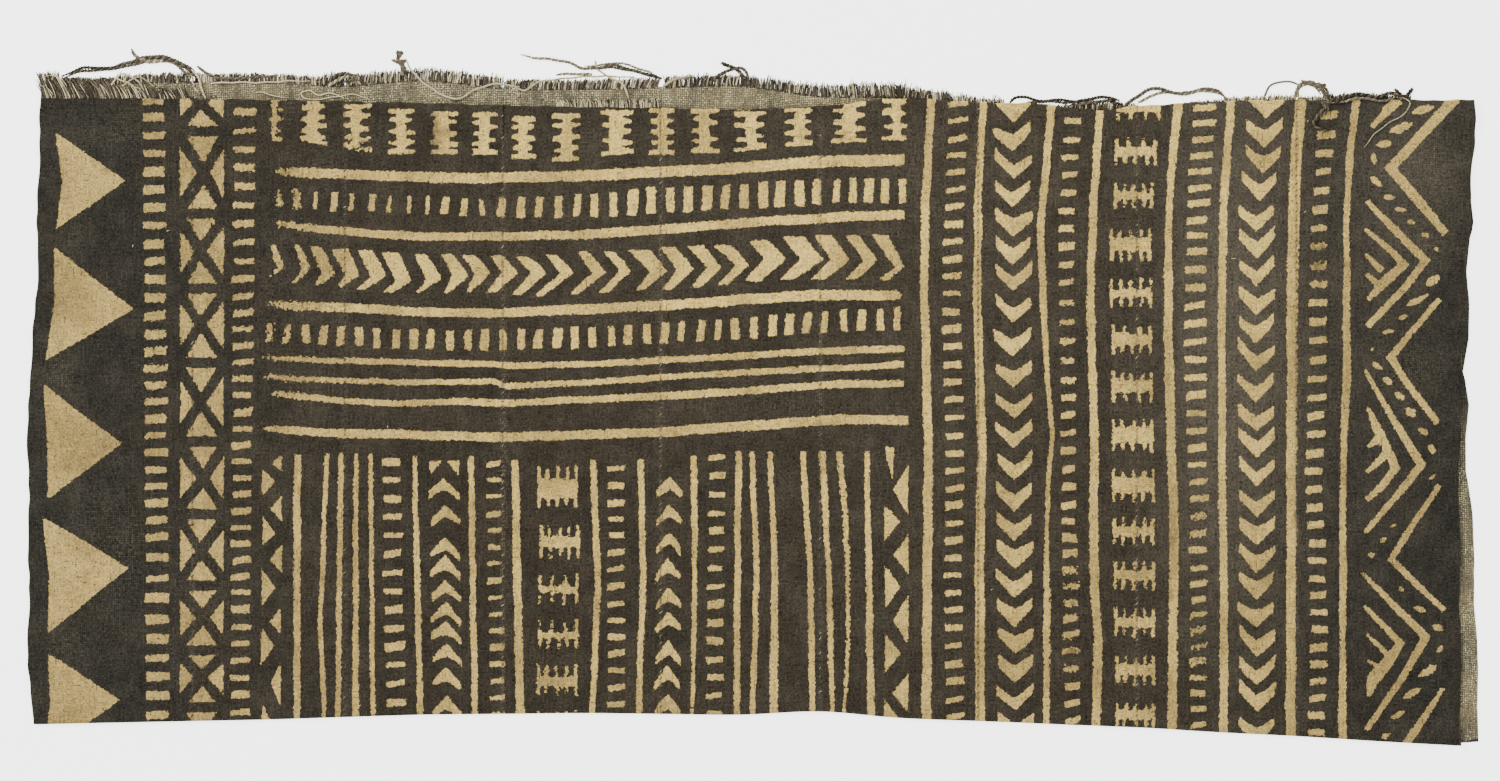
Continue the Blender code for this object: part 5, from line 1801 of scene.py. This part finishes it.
@dataclass
class LooseThreads:
    """The long threads and the lint that lie on and beside the cloth."""

    name: str = "loose_threads"
    step: float = 0.9
    ply_turn: float = 4.2
    settle: int = 7
    stouter: float = 0.4
    thicker: float = 0.22

    def build(self, material: Material, rng: Random) -> Object:
        """Make every thread in one piece.

        Args:
            material: Their finish.
            rng: Their unevenness.

        Returns:
            The piece.
        """
        yarns = YarnMesh()
        for thread in THREADS:
            self.spin(yarns, thread, rng)
        for x, y, turn, length in LINT:
            self.fluff(yarns, x, y, turn, length)
        return yarns.piece(self.name, material)

    def heights(self, route: Array, radius: float, arch: float, rng: Random) -> Array:
        """Heights of a thread that lies over whatever is below it.

        Args:
            route: Its places, seen from above.
            radius: Its radius.
            arch: How far it lifts here and there.
            rng: Its unevenness.

        Returns:
            Heights that clear the cloth all the way.
        """
        ground = LAY.top(route[:, 0], route[:, 1])
        highest = self.around(ground).max(axis=1)
        run = np.arange(len(route)) * self.step
        lift = arch * (0.5 + 0.5 * np.sin(run / rng.uniform(5, 8) + rng.uniform(0, 6)))
        return self.around(highest).mean(axis=1) + radius * 1.7 + lift

    def around(self, values: Array) -> Array:
        """Gather each value with its neighbours on both sides."""
        padded = np.pad(values, self.settle, mode="edge")
        return np.lib.stride_tricks.sliding_window_view(padded, 2 * self.settle + 1)

    def spin(self, yarns: YarnMesh, thread: Thread, rng: Random) -> None:
        """Add one thread, ply by ply, with its knots."""
        route = smooth_route(np.array(thread.places).reshape(-1, 2), self.step)
        run = np.arange(len(route)) * self.step
        route = route + 0.22 * np.column_stack((np.sin(run / 1.9 + rng.uniform(0, 6)),
            np.sin(run / 2.3 + rng.uniform(0, 6))))
        height = self.heights(route, thread.radius, thread.arch, rng)
        line = np.column_stack((route, height))
        share = np.linspace(0, 1, len(route))
        tones = thread.start_tone + (thread.end_tone - thread.start_tone) * share
        taper = np.interp(share, (0, 0.04, 0.88, 1), (0.75, 1, 0.9, 0.4))
        off_cloth = float(np.mean(LAY.top(route[:, 0], route[:, 1]) < 0.1))
        thick = thread.radius * (1.0 + self.stouter * off_cloth) + self.thicker * off_cloth
        if thread.plies == 1:
            yarns.add(line, thick * taper, tones, 6)
        for ply in range(thread.plies if thread.plies > 1 else 0):
            turn = 2 * math.pi * (run / self.ply_turn + ply / thread.plies)
            side, up = sides_of(line)
            offset = (np.cos(turn)[:, None] * side + np.sin(turn)[:, None] * up) * thick * 0.5
            shade = np.clip(tones + (0.1 if ply else -0.14), 0, 1)
            yarns.add(line + offset * taper[:, None], thick * 0.62 * taper, shade, 5)
        for x, y, size in thread.knots:
            nearest = int(np.argmin((route[:, 0] - x)**2 + (route[:, 1] - y)**2))
            self.knot(yarns, np.array((x, y, height[nearest])), size, thread, rng)

    def knot(self, yarns: YarnMesh, middle: Array, size: float, thread: Thread, rng: Random) -> None:
        """Add an overhand knot pulled tight.

        Args:
            yarns: The mesh that it goes into.
            middle: Its middle.
            size: Its radius.
            thread: The thread that it is tied in.
            rng: The source of its turn.
        """
        t = np.linspace(0, 2 * math.pi, 34) + rng.uniform(0, 1)
        ring = np.column_stack((np.sin(t) + 2 * np.sin(2 * t), np.cos(t) - 2 * np.cos(2 * t),
            -np.sin(3 * t))) * (size / 3, size / 3, size / 2.2)
        tone = (thread.start_tone + thread.end_tone) / 2
        yarns.add(middle + ring, np.full(len(t), thread.radius * 0.8), np.full(len(t), tone), 5)

    def fluff(self, yarns: YarnMesh, x: float, y: float, turn: float, length: float) -> None:
        """Add one short pale fibre that lies on the cloth."""
        share = np.linspace(-0.5, 0.5, 5)
        bend = 0.25 * length * (share**2)
        route = np.column_stack((x + share * length * math.cos(turn) - bend * math.sin(turn), y + share
            * length * math.sin(turn) + bend * math.cos(turn)))
        line = np.column_stack((route, LAY.top(route[:, 0], route[:, 1]) + 0.16))
        yarns.add(line, 0.2 * np.interp(share, (-0.5, -0.3, 0.3, 0.5), (0.5, 1, 1, 0.5)),
            np.zeros(len(share)), 4)


@dataclass
class SeamStitches:
    """The whip stitches that join the strips, sunk in the seams' troughs."""

    name: str = "seam_stitches"
    pitch: float = 4.6
    half_width: float = 0.9
    slant: float = 0.9
    radius: float = 0.3
    rise: float = 0.05
    back_margin: float = 1.5
    pale: tuple[float, ...] = (0.05, 0.12, 0.72, 0.6, 0.55, 0.12, 0.6, 0.12)

    def build(self, material: Material, rng: Random) -> Object:
        """Make the stitches of the front layer, and those of the back layer that show above it.

        Args:
            material: Their finish.
            rng: Their unevenness.

        Returns:
            The piece.
        """
        yarns = YarnMesh()
        for seam, pale in zip(SEAMS, self.pale):
            fold, front_end, back_end = ends(seam)
            for y in np.arange(fold + 4.0, front_end - 3.0, self.pitch):
                self.stitch(yarns, seam, y + shake(rng, 0.8), pale, rng)
            for y in np.arange(front_end + 1.0, back_end - self.back_margin, self.pitch * 0.7):
                self.stitch(yarns, seam, y, pale, rng)
        return yarns.piece(self.name, material)

    def stitch(self, yarns: YarnMesh, seam: float, y: float, pale: float, rng: Random) -> None:
        """Add one stitch over a seam, light for the given share of them."""
        share = np.linspace(-1, 1, 5)
        reach = self.half_width * rng.uniform(0.75, 1.2)
        slant = self.slant * rng.uniform(0.6, 1.3)
        route = np.column_stack((seam + share * reach, y + share * slant))
        ground = LAY.top(route[:, 0], route[:, 1])
        line = np.column_stack((route, ground + self.rise + self.radius * (0.7 - 1.6 * share**4)))
        tone = rng.uniform(0.22, 0.52) if rng.random() < pale else rng.uniform(0.7, 1)
        yarns.add(line, self.radius * rng.uniform(0.8, 1.15) * np.interp(np.abs(share), (0, 1), (1, 0.6)),
            np.full(len(share), tone), 4)


@dataclass(frozen=True)
class Studio:
    """Pale floor, soft lamps and the camera straight above."""

    floor_size: float = 9.0
    floor_colour: Colour = (0.8, 0.81, 0.8)
    floor_glow: Colour = (0.93, 1.0, 0.94)
    floor_glow_strength: float = 3.1
    floor_depth: float = 0.0002
    frame_width: float = 0.945
    frame_middle: tuple[float, float] = (-0.00223, 0.00571)
    cloth_top: float = 0.003
    camera_height: float = 3.0
    sensor: float = 36.0
    world_colour: Colour = (0.97, 0.98, 1.0)
    world_strength: float = 0.66
    lamps: tuple[tuple[float, float, float, float, float], ...] = ((-1.7, 1.2, 1.9, 1.3, 66.0),
        (1.6, 1.1, 2.2, 1.8, 24.0), (0.1, -1.7, 2.3, 2.0, 14.0),)

    def build(self) -> None:
        """Set up floor, light and camera."""
        self.camera()
        self.light()
        self.floor()

    def camera(self) -> None:
        """Hang the camera over the cloth with the frame's width across its view."""
        deselect()
        x, y = self.frame_middle
        bpy.ops.object.camera_add(location=(x, y, self.camera_height), rotation=(0.0, 0.0, 0.0))
        camera = bpy.context.object
        camera.name = "overhead_camera"
        camera.data.sensor_width = self.sensor
        camera.data.lens = self.sensor * (self.camera_height - self.cloth_top) / self.frame_width
        camera.data.clip_start, camera.data.clip_end = 0.05, 50.0
        camera.data.dof.use_dof = False
        bpy.context.scene.camera = camera

    def light(self) -> None:
        """Place wide lamps on three sides and an even pale sky."""
        for index, (x, y, z, size, power) in enumerate(self.lamps):
            deselect()
            tilt = (math.atan2(y, z) * -1.0, math.atan2(x, z), 0.0)
            bpy.ops.object.light_add(type="AREA", location=(x, y, z), rotation=tilt)
            lamp = bpy.context.object
            lamp.name = f"soft_lamp_{index + 1}"
            lamp.data.shape, lamp.data.size, lamp.data.energy = "DISK", size, power
        world = bpy.context.scene.world or bpy.data.worlds.new("pale_room")
        bpy.context.scene.world = world
        world.use_nodes = True
        graph = Graph(world.node_tree)
        background = world.node_tree.nodes["Background"].inputs
        graph.feed(background["Color"], self.world_colour)
        graph.feed(background["Strength"], self.world_strength)

    def floor(self) -> None:
        """Lay the plain pale floor just under the cloth."""
        deselect()
        bpy.ops.mesh.primitive_plane_add(size=self.floor_size, location=(0.0, 0.0, -self.floor_depth))
        floor = bpy.context.object
        floor.name = "pale_floor"
        material = bpy.data.materials.new("pale_floor")
        material.use_nodes = True
        shader = material.node_tree.nodes["Principled BSDF"]
        for name, value in (("Base Color", self.floor_colour), ("Roughness", 0.85),
            ("Emission Color", self.floor_glow), ("Emission Strength", self.floor_glow_strength)):
            Graph(material.node_tree).feed(shader.inputs[name], value)
        floor.data.materials.append(material)


@dataclass
class Wrapper:
    """The whole cloth: strips, frayed ends, loose threads and stitches."""

    seed: int = 29
    pattern: Pattern = field(default_factory=Pattern)

    def build(self) -> None:
        """Make and dress every piece, and report each one."""
        weave = Weave().group()
        painted = PaintedFace().material(weave)
        reverse = ReverseFace().material(weave)
        yarn = LooseYarn().material()
        rng = Random(self.seed)
        fringes = self.fringes(yarn, rng)
        for number in range(1, len(SEAMS) + 2):
            strip = Strip(number)
            piece = strip.build(self.pattern, painted, reverse)
            strip.declare(piece, fringes[number])
        for maker in (LooseThreads(), SeamStitches()):
            piece = maker.build(yarn, rng)
            LOG.info("%s: %d faces", piece.name, len(piece.data.polygons))

    def fringes(self, yarn: Material, rng: Random) -> dict[int, list[Object]]:
        """Make the frayed ends.

        Args:
            yarn: Their finish.
            rng: Their unevenness.

        Returns:
            The pieces of each strip.
        """
        found = {number: [] for number in range(1, len(SEAMS) + 2)}
        for node, strip in dict.fromkeys((fray.node, fray.strip) for fray in FRAYS):
            piece = FrayedEnd(node).build(yarn, rng)
            found[strip].append(piece)
            LOG.info("%s: %d faces", piece.name, len(piece.data.polygons))
        return found


def main() -> None:
    """Build the studio and the cloth, in that order."""
    logging.basicConfig(level=logging.INFO, format="%(message)s")
    Studio().build()
    Wrapper().build()


if __name__ == "__main__":
    main()
